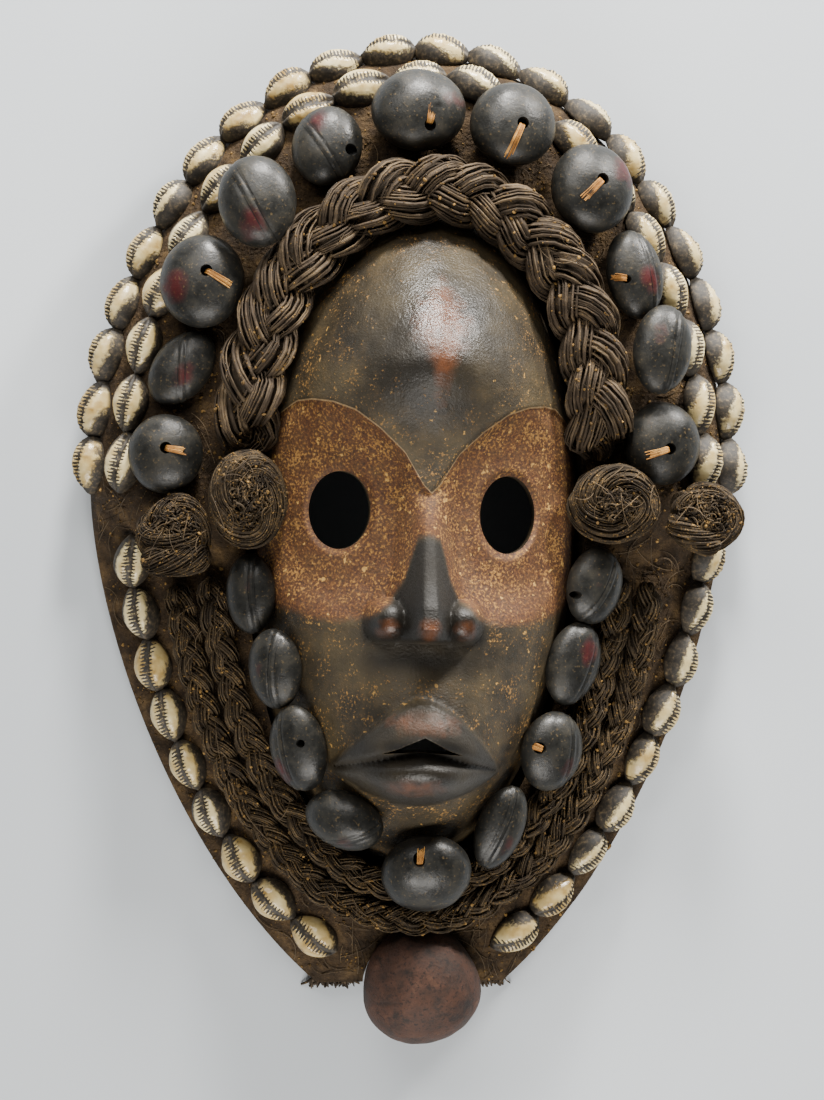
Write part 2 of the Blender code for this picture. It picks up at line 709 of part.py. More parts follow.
def make_all_fibre(ground, group, fibre):
    outset = BRAID_RADIUS - BRAID_OVER_FACE
    braid_path = arch(BRAID_LEAN / 3, FACE_CENTRE_Y + BRAID_ENDS_ABOVE_EYES,
                      FACE_HALF_WIDTH * BRAID_FACE_SHARE + outset,
                      FACE_RISE * BRAID_FACE_SHARE + outset - BRAID_ENDS_ABOVE_EYES, BRAID_LEAN)
    pieces = [make_plait("brow_braid", braid_path, math.radians(181), math.radians(-1), BRAID_RADIUS,
                         BRAID_LOBES, BRAID_SIDES, ground, group, fibre)]
    for side, word, coil, knot in ((-1, "left", LEFT_COIL, LEFT_KNOT), (1, "right", RIGHT_COIL, RIGHT_KNOT)):
        for name, half_shares, across, up, twist in (
            (f"{word}_ear_coil", coil[0], FACE_HALF_WIDTH + coil[1] * KNOT_HALF_SIZE, coil[2], side),
            (f"{word}_outer_knot", knot[0], CLOTH_HALF_WIDTH - knot[1] * KNOT_HALF_SIZE, knot[2], -side),
        ):
            place = Vector((side * across, up * KNOT_HALF_SIZE, 0))
            pieces.append(make_knot(name, half_shares, place, twist, ground, group, fibre))
    for word, inset in (("outer", 0.0), ("inner", PLAIT_SPACING)):
        path = arch(0.0, FACE_CENTRE_Y, CLOTH_HALF_WIDTH - OUTER_PLAIT_INSET - inset,
                    FACE_DROP + PLAIT_BELOW_FACE - inset)
        pieces.append(make_plait(f"beard_plait_{word}", path, math.radians(PLAIT_ENDS[0]),
                                 math.radians(PLAIT_ENDS[1]), PLAIT_RADIUS, PLAIT_LOBES, PLAIT_SIDES,
                                 ground, group, fibre))
    return pieces


def make_all_nuts(bed, ground, group, nut_skin):
    crown_path = arch(CROWN_NUT_CENTRE_X, FACE_CENTRE_Y + CROWN_NUT_ABOVE_FACE_CENTRE,
                      CLOTH_HALF_WIDTH - CROWN_NUT_INSET, CROWN_RISE - CROWN_NUT_SHORTER, CROWN_NUT_LEAN)
    beard_path = arch(0.0, FACE_CENTRE_Y, CLOTH_HALF_WIDTH - BEARD_NUT_INSET, FACE_DROP - BEARD_NUT_ABOVE_RIM)
    crown = make_nuts("crown_nut", crown_path, math.pi, 0, CROWN_NUTS, ground, bed, group, nut_skin)
    first, last = [math.radians(end) for end in BEARD_NUT_ENDS]
    return crown + make_nuts("beard_nut", beard_path, first, last, BEARD_NUTS, ground, bed, group, nut_skin)


def main():
    clear_scene()
    group = new_collection("Dan mask")
    cutters = new_collection("Cutters")
    wood = new_material("Dark carved wood", (0.045, 0.033, 0.024), 0.45)
    cloth = new_material("Padded dark cloth", (0.030, 0.022, 0.016), 0.95)
    fibre = new_material("Plaited plant fibre", (0.070, 0.052, 0.036), 0.90)
    nut_skin = new_material("Dark nut shell", (0.028, 0.030, 0.030), 0.35)
    shell = new_material("Cowrie shell", (0.75, 0.66, 0.47), 0.40)
    iron = new_material("Rusted iron", (0.085, 0.035, 0.022), 0.75, 0.3)

    bell_centre = Vector((BELL_CENTRE_X, beard_end(), BELL_HEIGHT / 2))
    face = make_face(group, cutters, wood)
    surround = make_surround(group, cutters, cloth, bell_centre)
    bell = make_bell(group, iron, bell_centre)
    cloth_only = Ground().add(surround)
    bed = Ground().add(face, surround)
    ground = Ground().add(face, surround, bell)

    pieces = [face, surround, bell]
    pieces += make_all_cowries(cloth_only, ground, group, shell)
    pieces += make_all_fibre(ground, group, fibre)
    pieces += make_all_nuts(bed, ground, group, nut_skin)

    centre_on_floor(pieces, cutters.objects)
    for piece in pieces:
        piece.data.set_sharp_from_angle(angle=math.radians(50))


main()
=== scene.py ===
# Dan mask: the looks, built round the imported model. The mask lies on its back and the camera looks down on it.
# Lengths are worked out in millimetres and turned to metres when a mesh is made.

import math

import bmesh
import bpy
import numpy as np
from mathutils import Matrix, Quaternion, Vector, noise
from mathutils.bvhtree import BVHTree


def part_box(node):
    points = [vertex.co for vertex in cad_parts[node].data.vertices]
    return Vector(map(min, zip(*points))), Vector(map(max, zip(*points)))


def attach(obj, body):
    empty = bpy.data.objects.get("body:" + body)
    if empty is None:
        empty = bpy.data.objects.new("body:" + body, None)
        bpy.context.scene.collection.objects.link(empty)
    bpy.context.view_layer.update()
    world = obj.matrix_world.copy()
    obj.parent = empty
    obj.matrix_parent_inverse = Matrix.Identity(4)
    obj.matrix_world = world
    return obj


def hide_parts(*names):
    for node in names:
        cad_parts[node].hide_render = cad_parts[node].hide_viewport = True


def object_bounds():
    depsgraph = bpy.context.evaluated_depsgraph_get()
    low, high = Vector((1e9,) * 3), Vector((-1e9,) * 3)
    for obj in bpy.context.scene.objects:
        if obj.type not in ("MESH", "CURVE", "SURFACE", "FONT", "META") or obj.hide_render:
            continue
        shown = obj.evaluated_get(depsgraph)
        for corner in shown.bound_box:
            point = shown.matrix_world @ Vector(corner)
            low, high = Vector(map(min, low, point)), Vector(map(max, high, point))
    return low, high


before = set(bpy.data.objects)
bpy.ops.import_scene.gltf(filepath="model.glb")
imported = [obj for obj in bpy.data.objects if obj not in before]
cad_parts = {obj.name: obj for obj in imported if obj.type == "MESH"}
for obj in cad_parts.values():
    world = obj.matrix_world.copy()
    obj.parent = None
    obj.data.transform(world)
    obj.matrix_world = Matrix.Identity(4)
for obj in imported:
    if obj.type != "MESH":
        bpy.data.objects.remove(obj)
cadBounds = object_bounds()
print("frame loaded:", len(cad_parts), "nodes")

mm = 0.001
farAbove = 300  # higher than everything, in mm: rays start here


# camera, lights and floor

camera = dict(target=(-1.9, -3.6, 30), distance=1200, fromLeft=5, lens=104.7)

lights = dict(
    crownLeft=dict(place=(60, 1080, 430), size=(200, 200), power=33.0),
    crownRight=dict(place=(800, 980, 430), size=(200, 180), power=31.0),
    overhead=dict(place=(-300, 760, 860), size=(900, 420), power=10.0),
    chinFill=dict(place=(-60, -900, 700), size=(900, 420), power=16.0),
)
lightColour, worldColour, worldStrength = (1.0, 0.965, 0.91), (1.0, 0.99, 0.97), 0.14


def aim(thing, place, target):
    thing.location = Vector(place) * mm
    thing.rotation_euler = (Vector(target) - Vector(place)).to_track_quat("-Z", "Y").to_euler()


def makeCamera():
    data = bpy.data.cameras.new("photoCamera")
    data.lens = camera["lens"]
    data.clip_start, data.clip_end = 0.05, 20
    view = bpy.data.objects.new("photoCamera", data)
    bpy.context.scene.collection.objects.link(view)
    turn = math.radians(camera["fromLeft"])
    away = Vector((-math.sin(turn), 0, math.cos(turn))) * camera["distance"]
    view.location = (Vector(camera["target"]) + away) * mm
    view.rotation_euler = (0, -turn, 0)
    bpy.context.scene.camera = view


def makeLights():
    for name, light in lights.items():
        data = bpy.data.lights.new(name, "AREA")
        data.shape, data.energy, data.color = "RECTANGLE", light["power"], lightColour
        data.size, data.size_y = (side * mm for side in light["size"])
        lamp = bpy.data.objects.new(name, data)
        bpy.context.scene.collection.objects.link(lamp)
        aim(lamp, light["place"], (0, 0, 30))
    world = bpy.data.worlds.new("studio")
    bpy.context.scene.world = world
    world.use_nodes = True
    world.node_tree.nodes["Background"].inputs["Color"].default_value = (*worldColour, 1)
    world.node_tree.nodes["Background"].inputs["Strength"].default_value = worldStrength


# small helpers for nodes, meshes and pieces

def hexColour(code):
    parts = [int(code[start:start + 2], 16) / 255 for start in (1, 3, 5)]
    return tuple(part / 12.92 if part <= 0.04045 else ((part + 0.055) / 1.055) ** 2.4 for part in parts) + (1,)


def addNode(tree, kind, inputs=None, **settings):
    node = tree.nodes.new(kind)
    for name, value in settings.items():
        setattr(node, name, value)
    for name, value in (inputs or {}).items():
        if isinstance(value, bpy.types.NodeSocket):
            tree.links.new(value, node.inputs[name])
        else:
            node.inputs[name].default_value = value
    return node


def output(tree, kind, inputs=None, **settings):
    return addNode(tree, kind, inputs, **settings).outputs[0]


def worked(tree, operation, *values, clamp=False):
    return output(tree, "ShaderNodeMath", dict(enumerate(values)), operation=operation, use_clamp=clamp)


def carry(mesh, title, values, kind="FLOAT", field="value"):
    mesh.attributes.new(title, kind, "POINT").data.foreach_set(field, np.asarray(values, np.float32).ravel())


def newMesh(name, points, faces, **attributes):
    # points in mm; an attribute is one number for each point
    mesh = bpy.data.meshes.new(name)
    mesh.from_pydata((np.asarray(points, float) * mm).tolist(), [], faces)
    for title, values in attributes.items():
        carry(mesh, title, values)
    mesh.update()
    mesh.shade_smooth()
    return mesh


def newPiece(name, mesh, material=None):
    if material:
        mesh.materials.clear()
        mesh.materials.append(material)
    mesh.name = name
    piece = bpy.data.objects.new(name, mesh)
    bpy.context.scene.collection.objects.link(piece)
    return piece


def settlePiece(piece, slot, *nodes):
    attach(piece, "root")
    if nodes:
        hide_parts(*nodes)
    return piece


def gridFaces(rows, columns, closedRows=False, closedColumns=False):
    faces = []
    for row in range(rows if closedRows else rows - 1):
        for column in range(columns if closedColumns else columns - 1):
            nextRow, nextColumn = (row + 1) % rows, (column + 1) % columns
            faces.append((row * columns + column, nextRow * columns + column,
                          nextRow * columns + nextColumn, row * columns + nextColumn))
    return faces


def bakedMesh(piece):
    bpy.context.view_layer.update()
    evaluated = piece.evaluated_get(bpy.context.evaluated_depsgraph_get())
    return bpy.data.meshes.new_from_object(evaluated)


def cutPiece(piece, cutters, sharpAngle, material):
    # the piece without its cutters, as a plain mesh under the same name
    for cutter in cutters:
        cut = piece.modifiers.new("Cut", "BOOLEAN")
        cut.operation, cut.solver, cut.object = "DIFFERENCE", "EXACT", cutter
    name, mesh = piece.name, bakedMesh(piece)
    for thing in [piece, *cutters]:
        bpy.data.objects.remove(thing)
    mesh.set_sharp_from_angle(angle=math.radians(sharpAngle))
    return newPiece(name, mesh, material)


def mergedMesh(mesh):
    # poles closed and faces turned outwards
    work = bmesh.new()
    work.from_mesh(mesh)
    bmesh.ops.remove_doubles(work, verts=work.verts, dist=0.01 * mm)
    bmesh.ops.recalc_face_normals(work, faces=work.faces)
    work.to_mesh(mesh)
    work.free()
    mesh.shade_smooth()
    return mesh


def roughness3d(points, size, seed):
    # noise at each point, its lumps about size mm across, from about -1 to 1
    shift = Vector((seed * 7.3, seed * -3.1, seed * 5.7))
    return np.array([noise.noise(Vector(point) * (1 / size) + shift) for point in points])


def ballGrid(rings, around):
    # a ball of radius 1, its poles along z
    turns = np.arange(around) * 2 * math.pi / around
    polar, turn = np.meshgrid(np.linspace(0, math.pi, rings + 1), turns, indexing="ij")
    return np.stack((np.sin(polar) * np.cos(turn), np.sin(polar) * np.sin(turn), np.cos(polar)), -1).reshape(-1, 3)


def smoothStep(low, high, value):
    share = np.clip((value - low) / (high - low), 0.0, 1.0)
    return share * share * (3 - 2 * share)


def bump(u, v, centreU, centreV, spreadU, spreadV):
    return np.exp(-((u - centreU) / spreadU) ** 2 - ((v - centreV) / spreadV) ** 2)


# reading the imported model, so that each piece lies where its solid is

def solidTree(*names):
    points, faces = [], []
    for name in names:
        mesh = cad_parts[name].data
        first = len(points)
        points += [vertex.co / mm for vertex in mesh.vertices]
        faces += [[first + index for index in face.vertices] for face in mesh.polygons]
    return BVHTree.FromPolygons(points, faces)


def below(tree, x, y):
    return tree.ray_cast(Vector((x, y, farAbove)), Vector((0, 0, -1)))[0]


def topHeights(tree, places, missing=0.0):
    # height of the solid straight above each place
    heights = []
    for x, y in places:
        spot = below(tree, x, y)
        heights.append(spot.z if spot else missing)
    return np.array(heights)


crownTop = 185.0  # how far the crown's edge is drawn above the drawing's origin, in mm
clothLow, clothHigh = (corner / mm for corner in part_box("cloth_surround"))
maskShift = np.array(((clothLow.x + clothHigh.x) / 2, clothHigh.y - crownTop))  # the model is centred by its box


def archPlaces(turns, centreX, centreY, halfWidth, rise, lean=0.0, power=2.0):
    turns = np.radians(turns)
    across = np.sign(np.cos(turns)) * np.abs(np.cos(turns)) ** (2 / power)
    along = np.sign(np.sin(turns)) * np.abs(np.sin(turns)) ** (2 / power)
    places = np.stack((centreX + halfWidth * across + lean * np.maximum(along, 0), centreY + rise * along), 1)
    return places + maskShift


def evenPlaces(arch, firstTurn, lastTurn, shares):
    fine = archPlaces(np.linspace(firstTurn, lastTurn, 600), *arch)
    lengths = np.concatenate(([0], np.cumsum(np.linalg.norm(np.diff(fine, axis=0), axis=1))))
    wanted = np.asarray(shares) * lengths[-1]
    return np.stack([np.interp(wanted, lengths, fine[:, axis]) for axis in (0, 1)], 1), lengths[-1]


def smoothed(values, times):
    for _ in range(times):
        padded = np.pad(values, 1, mode="edge")
        values = (padded[:-2] + padded[1:-1] * 2 + padded[2:]) / 4
    return values


# geometry node trees: one turns lines into cords, one sets a shape on points

def newTree(title, **inputs):
    tree = bpy.data.node_groups.new(title, "GeometryNodeTree")
    names = {name: tree.interface.new_socket(name, in_out="INPUT", socket_type="NodeSocket" + kind).identifier
             for name, kind in inputs.items()}
    tree.interface.new_socket("result", in_out="OUTPUT", socket_type="NodeSocketGeometry")
    return tree, names, addNode(tree, "NodeGroupInput").outputs


def finishTree(tree, geometry, material):
    real = output(tree, "GeometryNodeRealizeInstances", {"Geometry": geometry})
    made = output(tree, "GeometryNodeSetMaterial", {"Geometry": real, "Material": material})
    addNode(tree, "NodeGroupOutput", {"result": made})


def carried(tree, name, kind):
    return output(tree, "GeometryNodeInputNamedAttribute", {"Name": name}, data_type=kind)


def cordTree():
    tree, names, given = newTree("cords along lines", lines="Geometry", sides="Int", radius="Float",
                                 material="Material")
    radius = worked(tree, "MULTIPLY", carried(tree, "thick", "FLOAT"), given["radius"])
    curve = output(tree, "GeometryNodeMeshToCurve", {"Mesh": given["lines"]})
    ring = output(tree, "GeometryNodeCurvePrimitiveCircle", {"Resolution": given["sides"], "Radius": 1.0})
    tube = output(tree, "GeometryNodeCurveToMesh", {"Curve": curve, "Profile Curve": ring, "Scale": radius,
                                                    "Fill Caps": True})
    finishTree(tree, output(tree, "GeometryNodeSetShadeSmooth", {"Geometry": tube}), given["material"])
    return tree, names


def scatterTree():
    tree, names, given = newTree("shape set on points", points="Geometry", shape="Object", material="Material")
    stretch, facing = carried(tree, "stretch", "FLOAT_VECTOR"), carried(tree, "facing", "QUATERNION")
    shape = addNode(tree, "GeometryNodeObjectInfo", {"Object": given["shape"]}).outputs["Geometry"]
    cloud = output(tree, "GeometryNodeMeshToPoints", {"Mesh": given["points"]})
    placed = output(tree, "GeometryNodeInstanceOnPoints", {"Points": cloud, "Instance": shape, "Rotation": facing,
                                                           "Scale": stretch})
    finishTree(tree, placed, given["material"])
    return tree, names


cordNodes, cordInputs = cordTree()
scatterNodes, scatterInputs = scatterTree()


def runTree(name, mesh, tree, identifiers, material, **values):
    # runs a tree on a mesh and keeps its result as a plain mesh
    source = newPiece(name + "Source", mesh)
    modifier = source.modifiers.new("Nodes", "NODES")
    modifier.node_group = tree
    for title, value in dict(values, material=material).items():
        modifier[identifiers[title]] = value
    result = bakedMesh(source)
    bpy.data.objects.remove(source)
    return newPiece(name, result, material)


def makeCords(name, lines, radius, sides, material):
    # each line: points in mm, thickness along it as a share of the radius, and a tone from 0 to 1
    points, edges, thick, tone = [], [], [], []
    for line, lineThick, lineTone in lines:
        first = len(points)
        points += (np.asarray(line) * mm).tolist()
        edges += [(first + step, first + step + 1) for step in range(len(line) - 1)]
        thick += np.broadcast_to(lineThick, len(line)).tolist()
        tone += [lineTone] * len(line)
    mesh = bpy.data.meshes.new(name)
    mesh.from_pydata(points, edges, [])
    carry(mesh, "thick", thick)
    carry(mesh, "tone", tone)
    return runTree(name, mesh, cordNodes, cordInputs, material, sides=sides, radius=radius * mm)


def scatterShape(name, shape, places, turns, stretches, tones, material):
    mesh = bpy.data.meshes.new(name)
    mesh.from_pydata((np.asarray(places) * mm).tolist(), [], [])
    carry(mesh, "facing", [tuple(turn) for turn in turns], "QUATERNION")
    carry(mesh, "stretch", stretches, "FLOAT_VECTOR", "vector")
    carry(mesh, "tone", tones)
    pattern = newPiece(name + "Pattern", shape)
    made = runTree(name, mesh, scatterNodes, scatterInputs, material, shape=pattern)
    bpy.data.objects.remove(pattern)
    return made


# materials: each helper adds a node and gives back the socket that carries its result

def newMaterial(name, **uniform):
    material = bpy.data.materials.new(name)
    material.use_nodes = True
    tree = material.node_tree
    for socket, value in uniform.items():
        tree.nodes["Principled BSDF"].inputs[socket.replace("_", " ")].default_value = value
    addNode(tree, "ShaderNodeTexCoord", name="place")
    return material, tree


def finishMaterial(tree, colour, roughness=None, normal=None):
    shader = tree.nodes["Principled BSDF"]
    for name, socket in (("Base Color", colour), ("Roughness", roughness), ("Normal", normal)):
        if socket:
            tree.links.new(socket, shader.inputs[name])


def placeIn(tree):
    return tree.nodes["place"].outputs["Object"]


def clouds(tree, size, detail, roughness=0.5, place=None):
    # noise in lumps about size mm across
    return output(tree, "ShaderNodeTexNoise", {"Vector": place or placeIn(tree), "Scale": 1 / (size * mm),
                                               "Detail": detail, "Roughness": roughness})


def painted(tree, *names):
    # the numbers that a mesh carries at its points under these names
    return [addNode(tree, "ShaderNodeAttribute", attribute_name=name).outputs["Fac"] for name in names]


def added(tree, value, share, rest):
    return worked(tree, "MULTIPLY_ADD", value, share, rest)


def both(tree, first, second):
    return worked(tree, "MULTIPLY", first, second)


def between(tree, value, low, high, start=0.0, end=1.0):
    # start up to low, end from high on, even steps between them
    return output(tree, "ShaderNodeMapRange", {"Value": value, "From Min": low, "From Max": high,
                                               "To Min": start, "To Max": end})


def ramped(tree, value, *stops):
    node = addNode(tree, "ShaderNodeValToRGB", {"Fac": value})
    ramp = node.color_ramp
    while len(ramp.elements) > 1:
        ramp.elements.remove(ramp.elements[-1])
    for number, (place, code) in enumerate(stops):
        stop = ramp.elements[0] if number == 0 else ramp.elements.new(place)
        stop.position, stop.color = place, hexColour(code)
    return node.outputs[0]


def mixed(tree, share, under, over):
    over = hexColour(over) if isinstance(over, str) else over
    return addNode(tree, "ShaderNodeMix", {0: share, 6: under, 7: over}, data_type="RGBA").outputs[2]


def raised(tree, height, strength, distance, under=None):
    # a bump of distance mm, over an earlier one
    inputs = {"Height": height, "Strength": strength, "Distance": distance * mm}
    if under:
        inputs["Normal"] = under
    return output(tree, "ShaderNodeBump", inputs)


def carvedWood():
    # dark dense hardwood, adzed and scraped, oiled and smoked: a soft brown sheen, ochre earth in the pores
    material, tree = newMaterial("carved and rubbed hardwood", IOR=1.5, Specular_IOR_Level=0.45)
    browGap, footGap, halo, worn, dust, rub = painted(tree, "browGap", "footGap", "halo", "worn", "dust", "rub")
    base = ramped(tree, clouds(tree, 20, 4), (0.32, "#221d14"), (0.50, "#342d20"), (0.70, "#4a402c"))
    fine, crowd, film = clouds(tree, 1.0, 3, 0.6), clouds(tree, 9, 6, 0.7), clouds(tree, 5, 6, 0.7)
    # the reddish earth rubbed into the field round each eye, cut off sharply by the knife line of the brow
    underBrow = between(tree, browGap, -0.1, 0.5)
    overFoot = between(tree, added(tree, crowd, 5.0, footGap), 1.6, 4.6)
    eye = both(tree, underBrow, overFoot)
    earth = ramped(tree, fine, (0.30, "#301c0d"), (0.50, "#4f2f17"), (0.70, "#785025"))
    # darker over the forehead's crest, the nose and the lips; painted shade, near black, in the mouth's opening and
    # just under the nose
    colour = mixed(tree, halo, mixed(tree, eye, base, earth), "#0f0d0a")
    rubbed = both(tree, worn, clouds(tree, 3.5, 5))
    colour = mixed(tree, between(tree, rubbed, 0.16, 0.58, 0, 0.85), colour, "#5a341c")
    # specks of earth of 0.5 to 2 mm, which gather in patches of 9 mm
    lifted = added(tree, both(tree, crowd, dust), 0.7, fine)
    speck = between(tree, lifted, 0.945, 1.10, 0, 0.85)
    colour = mixed(tree, speck, colour, "#a2783c")
    # a thin film of the same earth, 5 mm across in its patches
    filmOn = between(tree, both(tree, film, dust), 0.46, 0.86, 0, 0.45)
    colour = mixed(tree, filmOn, colour, "#5b4629")
    # a few larger crumbs of yellow earth, 1 to 3 mm
    heaped = added(tree, dust, 0.20, clouds(tree, 3.2, 4, 0.6))
    colour = mixed(tree, between(tree, heaped, 0.85, 0.91), colour, "#b28a48")
    # a painted highlight: a pale line 0.6 mm wide along the knife line of the brow, where its edge catches the light
    browEdgeHighlight = worked(tree, "COMPARE", browGap, 0.34, 0.28)
    colour = mixed(tree, both(tree, browEdgeHighlight, film), colour, "#a58c66")
    # rubbing polishes the high places, earth dulls the low ones
    streak = output(tree, "ShaderNodeMapping", {"Vector": placeIn(tree), "Scale": (1.0, 0.08, 1.0)})
    grain = clouds(tree, 0.7, 5, place=streak)
    uneven = added(tree, grain, 0.18, between(tree, rub, -1, 1, 0.80, 0.12))
    dull = added(tree, speck, 0.3, added(tree, eye, 0.16, uneven))
    scraped = raised(tree, film, 0.5, 0.5, raised(tree, grain, 0.5, 0.14))
    finishMaterial(tree, colour, dull, raised(tree, lifted, 0.7, 0.35, scraped))
    return material


def clothMaterial():
    # coarse handwoven cotton over stuffing, stiff with smoke, oil and mud
    material, tree = newMaterial("soiled coarse cotton cloth", IOR=1.5, Specular_IOR_Level=0.2)
    soil, crumb = clouds(tree, 9, 6, 0.65), clouds(tree, 1.1, 4, 0.65)
    colour = ramped(tree, soil, (0.30, "#211a12"), (0.48, "#392d20"), (0.60, "#50402c"), (0.74, "#6e583a"))
    colour = mixed(tree, between(tree, crumb, 0.60, 0.74, 0, 0.8), colour, "#6d5433")
    # threads 2.2 mm apart, coarser than real so that they show
    thread = {"Vector": placeIn(tree), "Scale": 1 / (7 * mm), "Distortion": 2.0, "Detail": 1.0}
    warp, weft = (addNode(tree, "ShaderNodeTexWave", thread, bands_direction=way).outputs["Fac"] for way in "XY")
    weave = raised(tree, both(tree, warp, weft), 0.5, 0.4)
    finishMaterial(tree, colour, between(tree, soil, 0, 1, 0.72, 0.98), raised(tree, crumb, 1.0, 1.1, weave))
    return material


def fibreMaterial(name, low, middle, high, dust, dustFrom=0.62):
    # plaited raffia or bark fibre, smoked dark: dull, with a faint silky gloss along the fibres
    material, tree = newMaterial(name, IOR=1.5, Specular_IOR_Level=0.22)
    stain, fine = clouds(tree, 6, 5), clouds(tree, 0.8, 4)
    tone = added(tree, painted(tree, "tone")[0], 0.45, stain)
    colour = ramped(tree, tone, (0.38, low), (0.74, middle), (1.0, high))
    spot = between(tree, added(tree, stain, 0.35, fine), dustFrom + 0.18, dustFrom + 0.30, 0, 0.75)
    finishMaterial(tree, mixed(tree, spot, colour, dust), between(tree, tone, 0, 1, 0.90, 0.68),
                   raised(tree, fine, 0.8, 0.35))
    return material


def nutMaterial():
    # hard dry seed shell, smooth and oiled: near black, with a soft gloss and wine-red bruises
    material, tree = newMaterial("oiled dark seed shell", IOR=1.5, Specular_IOR_Level=0.35)
    bruise, keelGap = painted(tree, "bruise", "keelGap")
    cloudy, fine = clouds(tree, 8, 6, 0.65), clouds(tree, 1.1, 4)
    colour = ramped(tree, cloudy, (0.30, "#121211"), (0.50, "#1e1e1c"), (0.68, "#2f2c25"))
    colour = mixed(tree, between(tree, both(tree, clouds(tree, 4, 5), bruise), 0.16, 0.42), colour, "#3d1415")
    # two knife-thin grooves with a keel between them, drawn dark: painted shade inside the grooves
    grooveShade = worked(tree, "COMPARE", worked(tree, "ABSOLUTE", keelGap), 1.3, 0.17)
    colour = mixed(tree, grooveShade, colour, "#0b0b0a")
    colour = mixed(tree, between(tree, fine, 0.60, 0.76, 0, 0.6), colour, "#6b5a3c")
    skin = raised(tree, fine, 0.4, 0.15, raised(tree, cloudy, 0.5, 0.7))
    finishMaterial(tree, colour, between(tree, cloudy, 0.3, 0.7, 0.28, 0.56), skin)
    return material


def cowrieMaterial():
    # glazed shell: cream porcelain gloss on the two lips, near black between the teeth as painted shade in the slit,
    # grey-brown crust outside
    material, tree = newMaterial("glazed cowrie shell", IOR=1.53, Specular_IOR_Level=0.5)
    tone, offSlit, lengthwise, under = painted(tree, "tone", "offSlit", "lengthwise", "under")
    patchy = clouds(tree, 1.6, 5, 0.6)
    cream = ramped(tree, added(tree, tone, 0.35, clouds(tree, 6, 3)),
                   (0.35, "#93763f"), (0.52, "#bba26a"), (0.80, "#d9c896"))
    # teeth 1.35 mm apart and up to 1.7 mm long, drawn on each side of the slit
    swing = added(tree, lengthwise, 2 * math.pi / 1.35, both(tree, patchy, 6.0))
    reach = between(tree, worked(tree, "SINE", swing), -0.7, 0.9, 1.0, 2.7)
    fromTeeth = worked(tree, "SUBTRACT", added(tree, patchy, 3.0, offSlit), reach)
    lens = added(tree, both(tree, lengthwise, lengthwise), 0.042, added(tree, tone, 2.2, offSlit))
    tip = added(tree, patchy, 3.0, worked(tree, "ABSOLUTE", lengthwise))
    lipEnd = between(tree, added(tree, patchy, 3.0, lens), 7.9, 8.7, 1, 0)
    lip = both(tree, both(tree, between(tree, fromTeeth, 1.3, 1.7), lipEnd), between(tree, tip, 9.2, 10.6, 1, 0))
    clean = worked(tree, "SUBTRACT", lip, under, clamp=True)
    # the crust's colour also fills the slit between the teeth: painted shade there
    crustAndSlitShade = ramped(tree, patchy, (0.35, "#1a1611"), (0.52, "#302a21"), (0.63, "#4f4433"), (0.76, "#83704e"))
    finishMaterial(tree, mixed(tree, clean, crustAndSlitShade, cream), between(tree, clean, 0, 1, 0.62, 0.24),
                   raised(tree, added(tree, patchy, 0.5, clean), 0.8, 0.35))
    return material


def ironMaterial():
    # hand-forged iron with an even old rust: matt red-brown, darker pits, hammered skin
    material, tree = newMaterial("forged and rusted iron", Metallic=0.2)
    rust, fine = clouds(tree, 9, 8, 0.7), clouds(tree, 1.2, 5)
    colour = ramped(tree, rust, (0.34, "#1c1410"), (0.46, "#38241a"), (0.60, "#4a2f22"), (0.74, "#604433"))
    colour = mixed(tree, between(tree, fine, 0.56, 0.70), colour, "#1c1310")
    colour = mixed(tree, between(tree, clouds(tree, 5, 7, 0.7), 0.55, 0.64, 0, 0.8), colour, "#17120f")
    hammered = raised(tree, rust, 0.8, 1.2)
    finishMaterial(tree, colour, between(tree, rust, 0, 1, 0.50, 0.80), raised(tree, fine, 0.6, 0.3, hammered))
    return material


def floorMaterial():
    material, tree = newMaterial("pale studio paper", Roughness=0.7, Specular_IOR_Level=0.2)
    finishMaterial(tree, ramped(tree, clouds(tree, 1000 / 3, 2), (0.3, "#bcc3ca"), (0.7, "#c6ccd2")))
    return material


materials = dict(
    wood=carvedWood(), cloth=clothMaterial(), nut=nutMaterial(), cowrie=cowrieMaterial(), iron=ironMaterial(),
    fibre=fibreMaterial("smoked plant fibre", "#241d14", "#41362a", "#635440", "#86693c"),
    muddy=fibreMaterial("mud-caked plant fibre", "#201911", "#372d1f", "#4e412e", "#7a6038", 0.56),
    straw=fibreMaterial("dry straw", "#5c3d1a", "#936430", "#c0914f", "#6d5230", 0.70),
    earth=fibreMaterial("dry crumbled earth", "#241b11", "#5e4827", "#9c7a44", "#b08f58", 0.60),
)


# carved face: the solid's own carving, with the lines that a knife and hands leave

face = dict(halfWidth=63, rise=123.5, drop=136, depth=84, wall=9, hollowDepth=72, domePower=2.3,
            centre=(0, 10), turn=-1.7, columns=200, rows=280,
            eyeHalfWidth=10.8, eyeHalfHeight=14.2, eyeSpacing=61.5, mouthWidth=29, mouthPeak=-80.5,
            browStep=1.7, lipEdge=1.1, lipGroove=1.7, sharpAngle=48)
carvingUnit = (face["rise"] + face["drop"]) / 260  # the carving is drawn 260 high: u across, v up


def dome(share):
    return np.maximum(0, 1 - share ** face["domePower"]) ** (1 / face["domePower"])


def browLine(side):
    return np.interp(side, (0, 3, 10, 19, 28, 36, 43, 48, 52, 58), (7, 10, 21.5, 30, 36.5, 39.5, 40.5, 40, 37, 32))


def eyeFoot(side):
    return np.interp(side, (0, 4, 6, 8, 12, 18, 24, 30, 40, 50, 58),
                     (-9, -10, -17, -24, -32, -37.5, -40, -41, -40, -37, -33))


def eyeHollow(u, v, edge):
    share = ((np.abs(u) - 31) / 31) ** 2 + ((v + 1) / 42) ** 2
    return smoothStep(0, edge, 1 - share)


def eyeZone(u, v):
    # the sunken field round each eye: a knife-cut edge along the brow, a soft one below
    side = np.abs(u)
    return smoothStep(0.0, 1.2, browLine(side) - v) * smoothStep(0, 16, v - eyeFoot(side))


